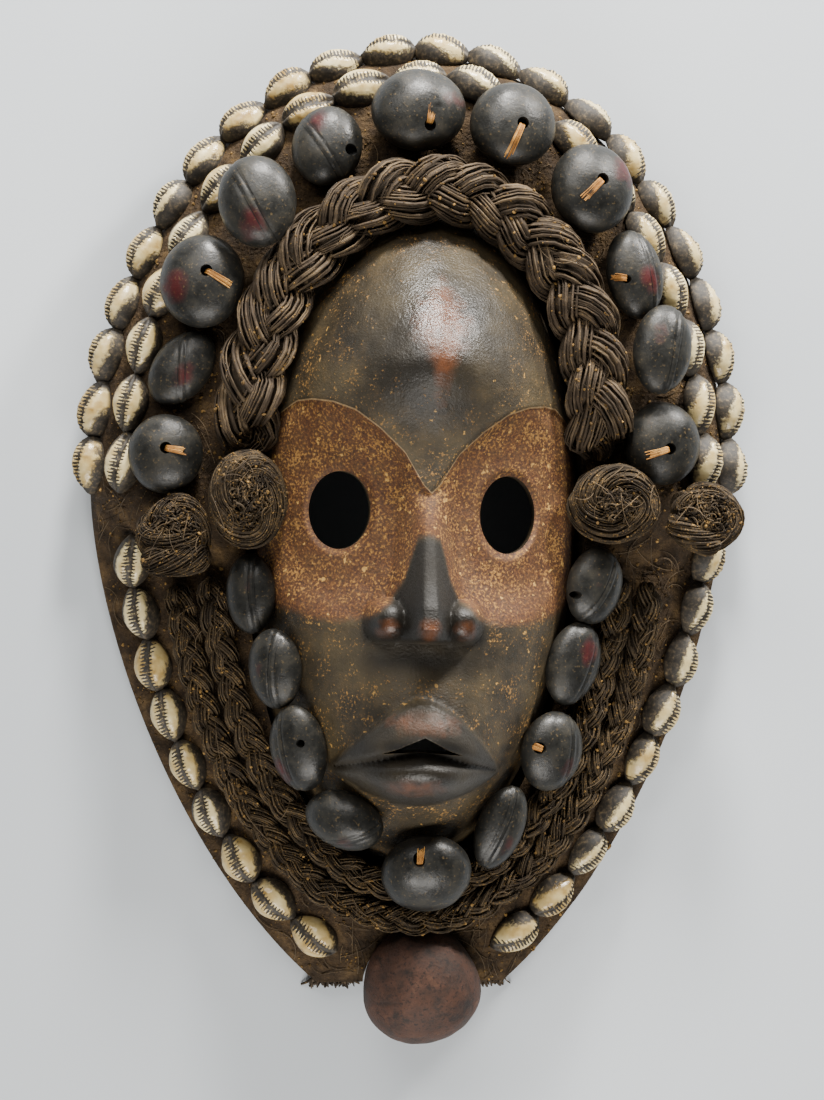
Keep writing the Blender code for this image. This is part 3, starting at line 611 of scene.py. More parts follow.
def noseHeight(u, v):
    side = np.abs(u)
    ridge = np.interp(v, (-50, -47.6, -46, -42, -34, -25, -10, 0, 8), (0, 0, 19, 24.5, 22, 16.5, 9, 3.8, 0))
    width = np.interp(v, (-46, -36, -22, -8, 6), (13, 13, 11, 9, 7))
    flat = np.interp(v, (-46, -30, -10, 6), (2.9, 1.9, 1.1, 0.6))
    beyond = np.sqrt(np.maximum(side - flat, 0) ** 2 + 1.3 ** 2) - 1.3
    crest = ridge * (1 - np.clip(beyond / width, 0, 1)) ** 1.7 - 0.09 * np.minimum(side, flat) ** 2
    crest = np.where(ridge > 0, crest, 0)
    bulb = 1 - np.abs((side - 13.8) / 7.9) ** 2.2 - np.abs((v + 39.6) / 8.2) ** 2.6
    wings = 14.5 * np.sqrt(np.maximum(0, bulb))
    return np.maximum(crest, wings)


def lips(u):
    # where the mouth's line and the lips' edges run
    across = np.abs(u) / 32
    line = -87.0 - 7 * across ** 1.3
    top = -67.5 - 26.5 * across ** 1.55
    foot = -106.5 + 12.5 * across ** 1.9
    return across, line, top, foot


def lipHeight(u, v):
    across, line, top, foot = lips(u)
    within = np.minimum(across, 1)
    above = smoothStep(-1.6, 1.6, v - line)
    reachUp = np.clip((v - line) / np.maximum(top - line, 0.1), 0, 1)
    reachDown = np.clip((line - v) / np.maximum(line - foot, 0.1), 0, 1)
    fullness = np.sqrt(np.maximum(0, 1 - within ** 3.4))
    step = (top - v) * above + (v - foot) * (1 - above)
    upper = (1 - 0.4 * np.exp(-(reachUp / 0.14) ** 2)) * np.sqrt(1 - reachUp ** 2.6)
    lower = (1 - 0.75 * ((reachDown - 0.56) / 0.56) ** 2) * np.sqrt(1 - reachDown ** 5)
    body = fullness * (3.4 * smoothStep(-0.6, 1.1, step) + 6.2 * (upper * above + lower * (1 - above)))
    inside = smoothStep(1.0, 0.9, across)
    edge = face["lipEdge"] * np.exp(-((v - top + 1.2) / 1.1) ** 2) * inside
    groove = face["lipGroove"] * np.exp(-((v - line) / 2.0) ** 2) * inside
    # the mouth stands ajar: a shallow hollow between the lips, deepest where it is cut through
    hollow = 5.5 * smoothStep(0.66, 0.12, across) * np.exp(-((v - line - 1.2) / 3.4) ** 2)
    roll = 0.8 * np.exp(-((v - (line * 0.5 + foot * 0.5)) / 5.0) ** 2) * inside * fullness
    return body + edge + roll - groove - hollow


def frontRelief(u, v, share):
    nearRim = smoothStep(1.0, 0.75, share)
    height = face["depth"] / carvingUnit * dome(share)
    height += 17 * bump(u, v, 0, 56, 36, np.where(v > 56, 34, 21)) * nearRim
    height += 18 * bump(u, v, 0, -90, 30, 26) * nearRim
    side = np.abs(u)
    height -= (face["browStep"] * eyeZone(u, v)
               + (8.5 - face["browStep"]) * eyeHollow(u, v, 0.8) * smoothStep(-1.5, 5, browLine(side) - v)
               * smoothStep(2, 12, side)) * nearRim
    height += noseHeight(u, v) + lipHeight(u, v)
    height += 0.5 * bump(u, v, 2.5, 62, 3.5, 32)  # the worn crest down the forehead
    rounded = np.hypot((side - face["eyeSpacing"] / 2) / face["eyeHalfWidth"], v / face["eyeHalfHeight"])
    height -= 1.8 * smoothStep(1.20, 0.99, rounded)  # eye holes with worn edges
    return height


def hollowRelief(u, v, share):
    nearRim = smoothStep(1.0, 0.6, share)
    height = face["hollowDepth"] / carvingUnit * dome(share)
    height += 12 * bump(u, v, 0, 56, 36, 30) * nearRim + 13 * bump(u, v, 0, -90, 28, 24) * nearRim
    return height - 6 * eyeHollow(u, v, 1.0) * nearRim


def faceGrid(columns, rows, inset, relief):
    # a square grid drawn into an egg, so that it has no pole and the same fineness all over
    a, b = np.meshgrid(np.linspace(-1, 1, columns + 1), np.linspace(-1, 1, rows + 1))
    x, y = (a * np.sqrt(1 - b ** 2 / 2)).ravel(), (b * np.sqrt(1 - a ** 2 / 2)).ravel()
    share = np.minimum(np.hypot(x, y), 1)
    u = (face["halfWidth"] - inset) * x / carvingUnit
    v = (np.where(y > 0, face["rise"], face["drop"]) - inset) * y / carvingUnit
    height = np.where(share > 0.99999, 0, np.maximum(relief(u, v, share), 0))
    return u, v, height, share


def facePoints(u, v, height):
    turn = math.radians(face["turn"])
    x = (u * math.cos(turn) - v * math.sin(turn)) * carvingUnit + face["centre"][0] + maskShift[0]
    y = (u * math.sin(turn) + v * math.cos(turn)) * carvingUnit + face["centre"][1] + maskShift[1]
    return np.stack((x, y, height * carvingUnit), 1)


def gridEdge(columns, rows):
    # indices round the border of a grid, anticlockwise
    width = columns + 1
    return ([*range(columns)] + [row * width + columns for row in range(rows)]
            + [rows * width + column for column in range(columns, 0, -1)]
            + [row * width for row in range(rows, 0, -1)])


def faceCutter(outline, name):
    points = [(x, y, z) for z in (0.3, 170) for x, y in outline]
    count = len(outline)
    faces = [tuple(range(count))[::-1], tuple(range(count, 2 * count))]
    faces += [(step, (step + 1) % count, count + (step + 1) % count, count + step) for step in range(count)]
    return newPiece(name, newMesh(name, points, faces))


def faceWear(u, v):
    # how the carving is soiled, rubbed and polished, and where shade is painted dark into it, as numbers for the
    # wood's material
    side = np.abs(u)
    across, _, top, foot = lips(u)
    ridge = 0.95 * bump(u, v, 2.5, 68, 12, 13) + 1.0 * bump(u, v, 3.0, 58, 4.5, 22)
    crest = 1.1 * bump(u, v, 0, -42, 4, 5) + 1.0 * bump(side, v, 14, -42, 5, 4)
    onLips = smoothStep(1.0, 0.9, across) * (v < top) * (v > foot)
    lipWear = onLips * (0.8 * bump(u, v, 0, -76, 17, 6) + 0.9 * bump(u, v, -2, -99, 13, 4))
    nose = smoothStep(-1.5, 2.5, eyeFoot(side) - v) * smoothStep(-50, -45, v) * smoothStep(24, 20, side)
    # the mouth's opening: painted near black as the shade inside it, and dull
    ajar = smoothStep(0.72, 0.3, across) * bump(u, v, 0, -84.5, 60, 3.2)
    # the band at v -54, just under the nose, is painted shadow; elsewhere darker over the forehead's crest, the nose
    # and the lips
    halo = bump(u, v, 2, 66, 21, 21) + 0.9 * nose + 0.62 * onLips + 0.8 * bump(u, v, 0, -54, 25, 5)
    halo = np.maximum(np.clip(halo, 0, 1), ajar)
    rub = (bump(u, v, 2, 74, 22, 24) + 0.8 * bump(u, v, 0, -42, 5, 5) + 0.7 * bump(side, v, 14, -42, 6, 6)
           - 0.7 * bump(u, v, 0, -16, 8, 14) + 0.7 * onLips * bump(u, v, 0, -98, 22, 7) - 1.6 * ajar)
    # browGap and footGap: distances in mm to the edges of the eye fields, positive inside
    return dict(browGap=np.clip(browLine(np.abs(u - 1.0)) - v, -20, 20), footGap=np.clip(v - eyeFoot(side), -20, 20),
                worn=np.clip(np.maximum(np.maximum(ridge, crest), lipWear), 0, 1), halo=halo, rub=np.clip(rub, -1, 1),
                dust=np.clip(1 - 0.8 * halo + 0.12 * eyeZone(u, v), 0, 1.2))


def makeFace():
    columns, rows = face["columns"], face["rows"]
    u, v, height, share = faceGrid(columns, rows, 0, frontRelief)
    front = facePoints(u, v, height)
    facets = 0.26 * roughness3d(front, 8, 1) + 0.12 * roughness3d(front, 3.0, 2)  # knife facets left in the wood
    front[:, 2] += np.where(share > 0.97, 0, facets)
    backU, backV, backHeight, backShare = faceGrid(columns // 2, rows // 2, face["wall"], hollowRelief)
    back = facePoints(backU, backV, backHeight)
    back[:, 2] += np.where(backShare > 0.97, 0, 0.5 * roughness3d(back, 9, 3))  # adze marks
    faces = [(a, d, c, b) for a, b, c, d in gridFaces(rows + 1, columns + 1)]
    first = len(front)
    faces += [tuple(first + index for index in quad) for quad in gridFaces(rows // 2 + 1, columns // 2 + 1)]
    outer, inner = gridEdge(columns, rows), [first + index for index in gridEdge(columns // 2, rows // 2)]
    for step, corner in enumerate(inner):
        following = inner[(step + 1) % len(inner)]
        rim = [outer[(2 * step + more) % len(outer)] for more in range(3)]
        faces += [(rim[1], rim[0], corner), (rim[1], corner, following), (rim[2], rim[1], following)]
    # the back carries no wear, a little dust, and lies outside the eye fields
    behind = dict(browGap=-20.0, footGap=-20.0, dust=0.7)
    wear = {name: np.concatenate((values, np.full(len(back), behind.get(name, 0.0))))
            for name, values in faceWear(u, v).items()}
    mesh = newMesh("carvedFace", np.concatenate((front, back)), faces, **wear)
    piece = newPiece("carvedFace", mesh, materials["wood"])
    cutters = []
    for side in (-1, 1):
        turns = np.linspace(0, 2 * math.pi, 56, endpoint=False)
        eyeU = (side * face["eyeSpacing"] / 2 + face["eyeHalfWidth"] * np.cos(turns)) / carvingUnit
        eyeV = face["eyeHalfHeight"] * np.sin(turns) / carvingUnit
        cutters.append(faceCutter(facePoints(eyeU, eyeV, eyeU * 0)[:, :2], "eyeCutter%d" % (side + 1)))
    half = face["mouthWidth"] / 2
    mouthU = np.array((0, -4.5, -9, -half, -half * 0.55, 0, half * 0.55, half, 9, 4.5))
    mouthV = np.array((0, -2.2, -4.6, -6.6, -6.2, -5.6, -6.2, -6.6, -4.6, -2.2)) + face["mouthPeak"]
    cutters.append(faceCutter(facePoints(mouthU, mouthV, mouthU * 0)[:, :2], "mouthCutter"))
    piece = cutPiece(piece, cutters, face["sharpAngle"], materials["wood"])
    settlePiece(piece, "carved_wood", "carved_face")
    print("carved face:", len(piece.data.polygons), "faces")


# cloth surround: a stuffed collar, lumpy and caked

cloth = dict(halfWidth=121.5, widestY=18, crownRise=167, crownLean=3, crownRoll=40, crownThick=38, crownEdge=4,
             beardDrop=205, belowFace=42.5, beardPower=1.6, beardSlope=70, beardEdge=7, beardThick=35, gap=0.7,
             stations=520, steps=60, lumps=0.7, bellReach=21.5, sharpAngle=60)
clothEnd = face["centre"][1] - face["drop"] * math.cos(math.radians(face["turn"])) - cloth["belowFace"]


def faceEdge(turn, outset):
    rise = (face["rise"] if math.sin(turn) > 0 else face["drop"]) + outset
    u, v = (face["halfWidth"] + outset) * math.cos(turn), rise * math.sin(turn)
    return facePoints(np.array([u / carvingUnit]), np.array([v / carvingUnit]), np.zeros(1))[0, :2]


def clothEdge(turn):
    across, along = math.cos(turn), math.sin(turn)
    if along >= 0:
        place = (cloth["halfWidth"] * across + cloth["crownLean"] * along,
                 cloth["widestY"] + cloth["crownRise"] * along)
    else:
        power = 2 / cloth["beardPower"]
        place = (math.copysign(cloth["halfWidth"] * abs(across) ** power, across),
                 max(cloth["widestY"] - cloth["beardDrop"] * abs(along) ** power, clothEnd))
    return np.array(place) + maskShift


def clothHeight(turn, distance):
    crownShare = 1 - np.minimum(distance, cloth["crownRoll"]) / cloth["crownRoll"]
    crown = cloth["crownEdge"] + (cloth["crownThick"] - cloth["crownEdge"]) * (1 - crownShare ** 2.2) ** (1 / 2.2)
    beardShare = 1 - np.minimum(distance, cloth["beardSlope"]) / cloth["beardSlope"]
    beard = cloth["beardEdge"] + (cloth["beardThick"] - cloth["beardEdge"]) * (1 - beardShare ** 1.5)
    weight = smoothStep(0.02, -0.20, math.sin(turn))
    return crown * (1 - weight) + beard * weight


def makeCloth():
    stations, steps = cloth["stations"], cloth["steps"]
    shares = np.linspace(0, 1, steps) ** 1.5
    rows = []
    for station in range(stations):
        turn = 2 * math.pi * station / stations
        outer, inner = clothEdge(turn), faceEdge(turn, cloth["gap"])
        width = np.linalg.norm(inner - outer)
        flat = outer + (inner - outer) * shares[:, None]
        top = np.column_stack((flat, clothHeight(turn, shares * width)))
        under = [np.append(inner, top[-1, 2] / 2), np.append(inner, 0.4),
                 np.append(inner + (outer - inner) * 0.03, 0), np.append((inner + outer) / 2, 0),
                 np.append(outer + (inner - outer) * 0.02, 0)]
        rows.append(np.concatenate((top, under)))
    points = np.array(rows)
    count = points.shape[1]
    flatPoints = points.reshape(-1, 3)
    lump = cloth["lumps"] * (roughness3d(flatPoints, 14, 4) + 0.8 * roughness3d(flatPoints, 5, 5)
                             + 0.6 * roughness3d(flatPoints, 2.4, 6))
    within = np.append(smoothStep(-0.02, 0.06, shares) * smoothStep(1.0, 0.96, shares), np.zeros(5))
    flatPoints[:, 2] += lump * np.tile(within, stations)
    faces = gridFaces(stations, count, True, True)
    mesh = newMesh("clothSurround", flatPoints, faces)
    piece = newPiece("clothSurround", mesh, materials["cloth"])
    low, high = (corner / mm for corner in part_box("bell"))
    # the collar leaves room for the bell
    turns = np.linspace(0, 2 * math.pi, 48, endpoint=False)
    outline = np.stack((np.cos(turns), np.sin(turns)), 1) * cloth["bellReach"] + np.array((low + high) / 2)[:2]
    cutter = faceCutter(outline, "bellCutter")
    cutter.data.transform(Matrix.Translation((0, 0, -10 * mm)))
    piece = cutPiece(piece, [cutter], cloth["sharpAngle"], materials["cloth"])
    settlePiece(piece, "cloth", "cloth_surround")
    print("cloth surround:", len(piece.data.polygons), "faces")


# cowrie shells, sewn tip to tip in four rows
# arch: middle across and up, half width, rise, lean, power; ends: degrees round it; turnedOut: left and right

cowrie = dict(width=14.4, height=8.5, overlap=2.0, along=36, around=28, slitDepth=3.4, toothSpacing=1.35,
              toothRise=0.3, seat=0.62, turnedRound=0.35)
shellRows = dict(
    cowriesCrownInner=dict(node="crown_cowries_inner", arch=(-1, 18, 110.5, 156, 3), ends=(180, 0), count=19, low=34,
                           upright=0.30, turnedOut=(-0.05, 0.30)),
    cowriesCrownOuter=dict(node="crown_cowries_outer", arch=(-1, 18, 124.5, 170, 3), ends=(180, 0), count=22, low=17,
                           upright=0.55, turnedOut=(0.0, 0.25)),
    cowriesBeardLeft=dict(node="beard_cowries_left", arch=(4.5, 12, 109.5, 175, 0, 1.95), ends=(183, 252), count=9,
                          low=16, upright=0.7, turnedOut=(0.10, 0.10)),
    cowriesBeardRight=dict(node="beard_cowries_right", arch=(4.5, 12, 109.5, 175, 0, 1.7), ends=(356, 287), count=9,
                           low=16, upright=0.3, turnedOut=(0.38, 0.38)),
)


def cowrieMesh(length):
    # slit side up; the poles of the grid are the two tips
    along, around = cowrie["along"], cowrie["around"]
    points, offSlit, lengthwise, under = [], [], [], []
    for row in range(along + 1):
        y = -math.cos(math.pi * row / along)
        outline = max(0.0, 1 - abs(y) ** 1.9) ** 0.80 * (1 - 0.12 * y)
        for step in range(around):
            turn = 2 * math.pi * (step + 0.5) / around
            x = math.cos(turn) * cowrie["width"] / 2 * outline
            up = math.sin(turn)
            slitX = 0.8 * math.sin(2.2 * y) + 0.4
            off = abs(x - slitX)
            if up > 0:
                height = cowrie["height"] * (up ** 0.85) * outline ** 0.6 * (1 - 0.05 * y)
                slit = math.exp(-(off / 1.0) ** 2) * (1 - abs(y) ** 6)
                tooth = math.cos(2 * math.pi * y * length / 2 / cowrie["toothSpacing"]) * (1 - abs(y) ** 4)
                height += (cowrie["toothRise"] * math.exp(-((off - 2.0) / 1.2) ** 2) * tooth
                           - cowrie["slitDepth"] * slit * min(1, height / 5))
            else:
                height = -0.15 * cowrie["height"] * min(1, -up * 3) * outline ** 0.5
            points.append((x, y * length / 2, height))
            offSlit.append(off)
            lengthwise.append(y * length / 2)
            under.append(0.0 if up > 0.08 else 1.0)
    mesh = newMesh("cowrieShape", points, gridFaces(along + 1, around, False, True), offSlit=offSlit,
                   lengthwise=lengthwise, under=under)
    return mergedMesh(mesh)


def turnFrame(normal, ahead):
    across = ahead.cross(normal).normalized()
    return Matrix((across, normal.cross(across), normal)).transposed()


def makeCowries():
    bed = solidTree("cloth_surround")
    for name, row in shellRows.items():
        rng = np.random.default_rng(len(name) + row["count"])
        shares = (np.arange(row["count"]) + 0.5) / row["count"]
        places, total = evenPlaces(row["arch"], *row["ends"], shares)
        ahead, _ = evenPlaces(row["arch"], *row["ends"], np.clip(shares + 0.01, 0, 1))
        length = total / row["count"] + cowrie["overlap"]
        chain = solidTree(row["node"])
        spots, turns, stretches = [], [], []
        for place, beyond in zip(places, ahead):
            nearest, normal = bed.find_nearest(Vector((*place, row["low"])))[:2]
            normal = ((normal if normal.z > 0 else -normal) + Vector((0, 0, row["upright"]))).normalized()
            direction = Vector((*(beyond - place), 0)).normalized()
            samples = []
            for step in (-4, 0, 4):
                start = nearest + normal * 40 + direction * step
                hit = chain.ray_cast(start, -normal)
                if hit[0]:
                    samples.append((hit[0] - nearest).dot(normal))
            lift = (float(np.median(samples)) - cowrie["seat"] * cowrie["height"]) if samples else 1.5
            facing = turnFrame(normal, direction).to_quaternion()
            outwards = 1 if direction.cross(normal).x * place[0] > 0 else -1
            lean = row["turnedOut"][0 if place[0] < 0 else 1] * outwards
            wobble = (Quaternion((0, 0, 1), rng.uniform(-0.13, 0.13))
                      @ Quaternion((0, 1, 0), lean + rng.uniform(-0.14, 0.14)))
            flip = Quaternion((0, 0, 1), math.pi if rng.random() < cowrie["turnedRound"] else 0)
            spots.append(nearest + normal * lift)
            turns.append(facing @ wobble @ flip)
            stretches.append((rng.uniform(0.93, 1.05), rng.uniform(0.93, 1.0), rng.uniform(0.92, 1.04)))
        piece = scatterShape(name, cowrieMesh(length), spots, turns, stretches, rng.uniform(0, 1, len(spots)),
                             materials["cowrie"])
        settlePiece(piece, "cowrie", row["node"])
        print(name + ":", len(piece.data.polygons), "faces")


# plaits: three strands of thin cords, laid over and under each other
# sag: how far the middle lies below the solid's top; lobe: from lobe to lobe; strand: half width and half height

thinPlait = dict(ends=(190, 350), sag=4.9, lobe=9.4, sway=3.0, rise=2.0, strand=(2.75, 2.5), cords=18,
                 cordRadius=0.38, sides=3, twist=55, step=1.8, messy=0.05, core=0.97, material="muddy")
plaits = dict(
    browBraid=dict(node="brow_braid", arch=(1, 40, 65.37, 89.215, 3), ends=(186, -6), sag=11.8, lobe=16.4,
                   sway=6.3, rise=4.4, strand=(5.9, 5.5), cords=34, cordRadius=0.60, sides=3, twist=85, step=2.2,
                   messy=0.08, core=0.97, material="fibre"),
    beardPlaitOuter=dict(thinPlait, node="beard_plait_outer", arch=(0, 10, 90, 152)),
    beardPlaitInner=dict(thinPlait, node="beard_plait_inner", arch=(0, 10, 77.8, 139.8)),
)


def centreLine(plait):
    _, total = evenPlaces(plait["arch"], *plait["ends"], [0, 1])
    count = int(total / plait["step"])
    places, _ = evenPlaces(plait["arch"], *plait["ends"], np.linspace(0, 1, count))
    tops = topHeights(solidTree(plait["node"]), places, -1.0)
    known = tops > 0
    tops = np.interp(np.arange(count), np.flatnonzero(known), tops[known])
    heights = smoothed(tops, 6) - plait["sag"]
    return np.column_stack((places, heights)), total


def unit(vectors):
    return vectors / np.linalg.norm(vectors, axis=-1, keepdims=True)


def waver(along, low, high, rng):
    return np.sin(along / rng.uniform(low, high) + rng.uniform(0, 6))


def plaitLines(line, total, plait, rng):
    # cords round the girth of each of three strands; a strand sways once for three lobes
    ahead = unit(np.gradient(line, axis=0))
    up = np.array((0.0, 0.0, 1.0))
    side = unit(np.cross(ahead, up))
    lift = np.cross(side, ahead)
    along = np.linspace(0, total, len(line))
    ends = np.minimum(1, np.minimum(along, total - along) / (2.2 * plait["strand"][0]) + 0.3)
    lines = []
    for strand in range(3):
        phase = 2 * math.pi * (along / (3 * plait["lobe"]) + strand / 3)
        phase = phase + 0.30 * np.sin(along / 31 + strand) + 0.16 * np.sin(along / 11 + 2 * strand)
        middle = (line + side * (plait["sway"] * np.sin(phase) * ends)[:, None]
                  + lift * (plait["rise"] * np.sin(2 * phase) * ends)[:, None])
        run = unit(np.gradient(middle, axis=0))
        wide = unit(np.cross(run, lift))
        high = np.cross(wide, run)
        plump = 1 + 0.07 * np.sin(along / 9.0 + 3 * strand)
        core = (plait["strand"][1] - plait["cordRadius"]) * plait["core"] / plait["cordRadius"]
        # the core is toned darkest: painted shade in the gaps between the cords
        lines.append((middle, core * ends * plump, 0.0))
        for cord in range(plait["cords"]):
            turn = (2 * math.pi * (cord / plait["cords"] + along / plait["twist"]) + rng.uniform(-0.12, 0.12)
                    + 0.20 * waver(along, 7, 15, rng))
            loose = (1 + plait["messy"] * waver(along, 5, 12, rng) + rng.uniform(-0.05, 0.05)) * plump
            path = (middle + wide * (plait["strand"][0] * np.cos(turn) * loose * ends)[:, None]
                    + high * (plait["strand"][1] * np.sin(turn) * loose * ends)[:, None])
            thick = 1 + 0.25 * waver(along, 4, 9, rng)
            lines.append((path, thick * rng.uniform(0.7, 1.2), rng.uniform(0.1, 1.0)))
    return lines


def makePlaits():
    for name, plait in plaits.items():
        rng = np.random.default_rng(len(name))
        line, total = centreLine(plait)
        piece = makeCords(name, plaitLines(line, total, plait, rng), plait["cordRadius"], plait["sides"],
                          materials[plait["material"]])
        settlePiece(piece, "fibre", plait["node"])
        print(name + ":", len(piece.data.polygons), "faces")


# coils beside the eyes and knots outside them

coils = dict(
    leftEarCoil=dict(node="left_ear_coil", strand=5.0, hairs=62, hairRadius=0.34, hand=1, frays=330, open=0.42),
    rightEarCoil=dict(node="right_ear_coil", strand=5.6, hairs=66, hairRadius=0.34, hand=-1, frays=160, open=0.26),
)
knots = dict(
    leftOuterKnot=dict(node="left_outer_knot", strands=7, strand=3.6, hairs=36, hairRadius=0.32, frays=330,
                       roll=((-12.0, -9.5, 3), (12.5, -8.0, 4)), rollThick=5.4, open=0.5),
    rightOuterKnot=dict(node="right_outer_knot", strands=10, strand=3.6, hairs=34, hairRadius=0.32, frays=260,
                        roll=((-13.5, -1.5, 5), (5, -11, 4)), rollThick=4.6, open=0.6),
)


def strandLines(line, reach, hairs, hairRadius, rng, twist=80, messy=0.08):
    # one strand of loose hairs round a core, thinner towards both ends
    run = unit(np.gradient(line, axis=0))
    along = np.concatenate(([0], np.cumsum(np.linalg.norm(np.diff(line, axis=0), axis=1))))
    wide = unit(np.cross(run, np.array((0.12, 0.21, 1.0))))
    high = np.cross(wide, run)
    taper = np.minimum(1, np.sqrt(np.minimum(along, along[-1] - along) / 9) + 0.3)
    # the core is toned darkest: painted shade in the gaps between the hairs
    lines = [(line, (reach - hairRadius) * 0.96 / hairRadius * taper, 0.0)]
    for hair in range(hairs):
        turn = 2 * math.pi * (hair / hairs + along / twist) + rng.uniform(-0.12, 0.12)
        out = reach * taper * (1 + messy * waver(along, 3, 8, rng) + rng.uniform(-0.05, 0.05))
        path = line + wide * (out * np.cos(turn))[:, None] + high * (out * np.sin(turn))[:, None]
        lines.append((path, rng.uniform(0.7, 1.5), rng.uniform(-0.1, 0.75)))
    return lines


def frayLines(middle, half, count, rng, spread):
    # short broken hairs that stand and curl over the middle of a lump
    lines = []
    for _ in range(count):
        spin, tilt = rng.uniform(0, 2 * math.pi), math.radians(85 * spread) * math.sqrt(rng.random())
        heading, bend = rng.uniform(0, 2 * math.pi), rng.uniform(-2.5, 2.5)
        start = np.array((math.sin(tilt) * math.cos(spin), math.sin(tilt) * math.sin(spin), math.cos(tilt)))
        steps = np.linspace(0, rng.uniform(0.10, 0.32), 6)
        angle = heading + bend * steps * 3
        path = start + np.stack((steps * np.cos(angle), steps * np.sin(angle), 0 * steps), 1)
        lift = 0.80 + rng.uniform(0.0, 0.12) + 0.35 * steps
        lines.append((unit(path) * lift[:, None] * half + middle, rng.uniform(0.6, 1.5), rng.uniform(-0.3, 0.8)))
    return lines


def coreLine(middle, half, hairRadius, share=0.84):
    # one fat cord that fills the lump behind its strands, toned below the rest: painted shade between them
    step = np.linspace(-0.96, 0.96, 15)
    path = middle + np.stack((0 * step, step * half[1] * share, 0 * step - 0.10 * half[2]), 1)
    return path, np.sqrt(1 - step ** 2) * min(half[0], half[2]) * share / hairRadius, -0.3


def ringLine(middle, half, strand, turns, height, hand, seed):
    # a strand laid round the shoulder of a lump, creeping inwards as it goes
    steps = np.linspace(0, 1, int(turns * 42))
    spin = 2 * math.pi * turns * steps * hand + 0.9 + seed
    reach = (half[:2] - strand) * (1.0 - 0.22 * steps[:, None] * (turns - 1))
    line = middle + np.stack((reach[:, 0] * np.cos(spin), reach[:, 1] * np.sin(spin),
                              (half[2] - strand) * (height + 0.30 * steps * (turns - 1))), 1)
    return line + 0.7 * np.stack([roughness3d(line, 9, seed + axis) for axis in (6, 7, 8)], 1)


def makeCoils():
    for number, (name, lump) in enumerate([*coils.items(), *knots.items()]):
        rng = np.random.default_rng(len(name) + 3)
        low, high = (np.array(corner / mm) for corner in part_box(lump["node"]))
        middle, half = (low + high) / 2, (high - low) / 2
        strand, hairs, hairRadius = lump["strand"], lump["hairs"], lump["hairRadius"]
        lines = [coreLine(middle, half, hairRadius)]
        if name in coils:
            for turns, height, seed in ((1.05, -0.35, 2), (1.5, 0.45, number)):
                lines += strandLines(ringLine(middle, half, strand, turns, height, lump["hand"], seed), strand, hairs,
                                     hairRadius, rng, 95)
        else:
            for _ in range(lump["strands"]):
                axis = unit(rng.normal(size=3) * np.array((0.6, 0.6, 1.0)))
                first = unit(np.cross(axis, rng.normal(size=3)))
                second = np.cross(axis, first)
                turn = np.linspace(0, rng.uniform(2.0, 3.8), 20)[:, None]
                ball = first * np.cos(turn) + second * np.sin(turn) + axis * rng.uniform(-0.5, 0.5)
                path = unit(ball) * (half - strand) * rng.uniform(0.92, 1.0) + middle
                lines += strandLines(path, strand * rng.uniform(0.75, 1.1), hairs, hairRadius, rng, 60, 0.12)
            # a thick smooth roll across the lower side of the knot
            start, end = (middle + np.array(corner) for corner in lump["roll"])
            steps = np.linspace(0, 1, 22)[:, None]
            bow = np.sin(math.pi * steps) * np.array((0.0, -1.6, 2.2))
            lines += strandLines(start + (end - start) * steps + bow, lump["rollThick"], hairs + 20, hairRadius,
                                 rng, 55)
        lines += frayLines(middle, half, lump["frays"], rng, lump["open"])
        piece = makeCords(name, lines, hairRadius, 3, materials["muddy"])
        settlePiece(piece, "fibre", lump["node"])
        print(name + ":", len(piece.data.polygons), "faces")


# nuts: dark seeds, some with a keel between two grooves, many drilled and some tied on with straw
# each: width, length, lean of the nut, angle of its groove and its shift across (None: no groove shows),
# drilled hole as shares of the half sizes, reddish bruise as shares and strength

nutTable = dict(
    crown_nut_01=(28.0, 29.0, 0, None, 0, (0.10, 0.12), (-0.5, 0.1, 0.2)),
    crown_nut_02=(21.0, 31.0, 38, -2, 0.05, None, (0.3, -0.1, 0.8)),
    crown_nut_03=(31.0, 34.5, 4, None, 0, (0.18, 0.16), (-0.55, -0.2, 0.9)),
    crown_nut_04=(28.5, 34.0, -8, -32, -0.15, None, (-0.15, -0.55, 0.8)),
    crown_nut_05=(26.0, 30.0, 8, -32, -0.2, (0.72, -0.1), (-0.3, 0.5, 0.7)),
    crown_nut_06=(35.0, 31.0, 0, None, 0, (0.2, -0.55), (0.75, 0.1, 0.5)),
    crown_nut_07=(32.0, 32.0, 0, None, 0, (0.1, -0.15), (0.5, 0.4, 0.2)),
    crown_nut_08=(31.5, 34.0, 0, None, 0, (0.05, 0.05), (0.7, 0.3, 0.9)),
    crown_nut_09=(21.5, 33.5, -10, -8, 0.45, (-0.5, -0.1), (0.3, -0.2, 0.9)),
    crown_nut_10=(22.5, 33.5, 8, 10, 0.35, None, (-0.3, 0.3, 0.5)),
    crown_nut_11=(29.0, 31.0, 0, None, 0, (0.05, -0.15), (-0.4, 0.5, 0.3)),
    beard_nut_01=(19.0, 30.0, 0, 0, 0.3, None, (0.2, 0.3, 0.4)),
    beard_nut_02=(21.0, 29.5, 0, 2, 0.2, None, (-0.3, 0, 0.4)),
    beard_nut_03=(22.5, 32.5, -5, -4, -0.3, (0.45, 0.2), (-0.5, -0.45, 0.8)),
    beard_nut_04=(30.0, 22.0, 20, 78, 0.3, None, (0.3, -0.3, 0.5)),
    beard_nut_05=(33.5, 31.5, 0, None, 0, (-0.25, 0.7), (0.5, -0.4, 0.3)),
    beard_nut_06=(19.0, 33.0, 15, 16, -0.2, None, (0.2, -0.3, 0.5)),
    beard_nut_07=(25.0, 30.0, 4, 6, 0.4, (-0.7, 0.15), (0.3, -0.3, 0.5)),
    beard_nut_08=(22.0, 31.5, 15, 18, 0.45, None, (0.1, 0.35, 0.9)),
    beard_nut_09=(22.5, 29.0, 10, 30, 0.1, (-0.8, -0.3), (-0.2, 0.2, 0.4)),
)
nutShape = dict(around=72, rings=48, flatUnder=0.55, holeRadius=2.5, smallHole=0.7, narrow=24, grooveApart=1.3,
                grooveDepth=0.32, sharpAngle=50)
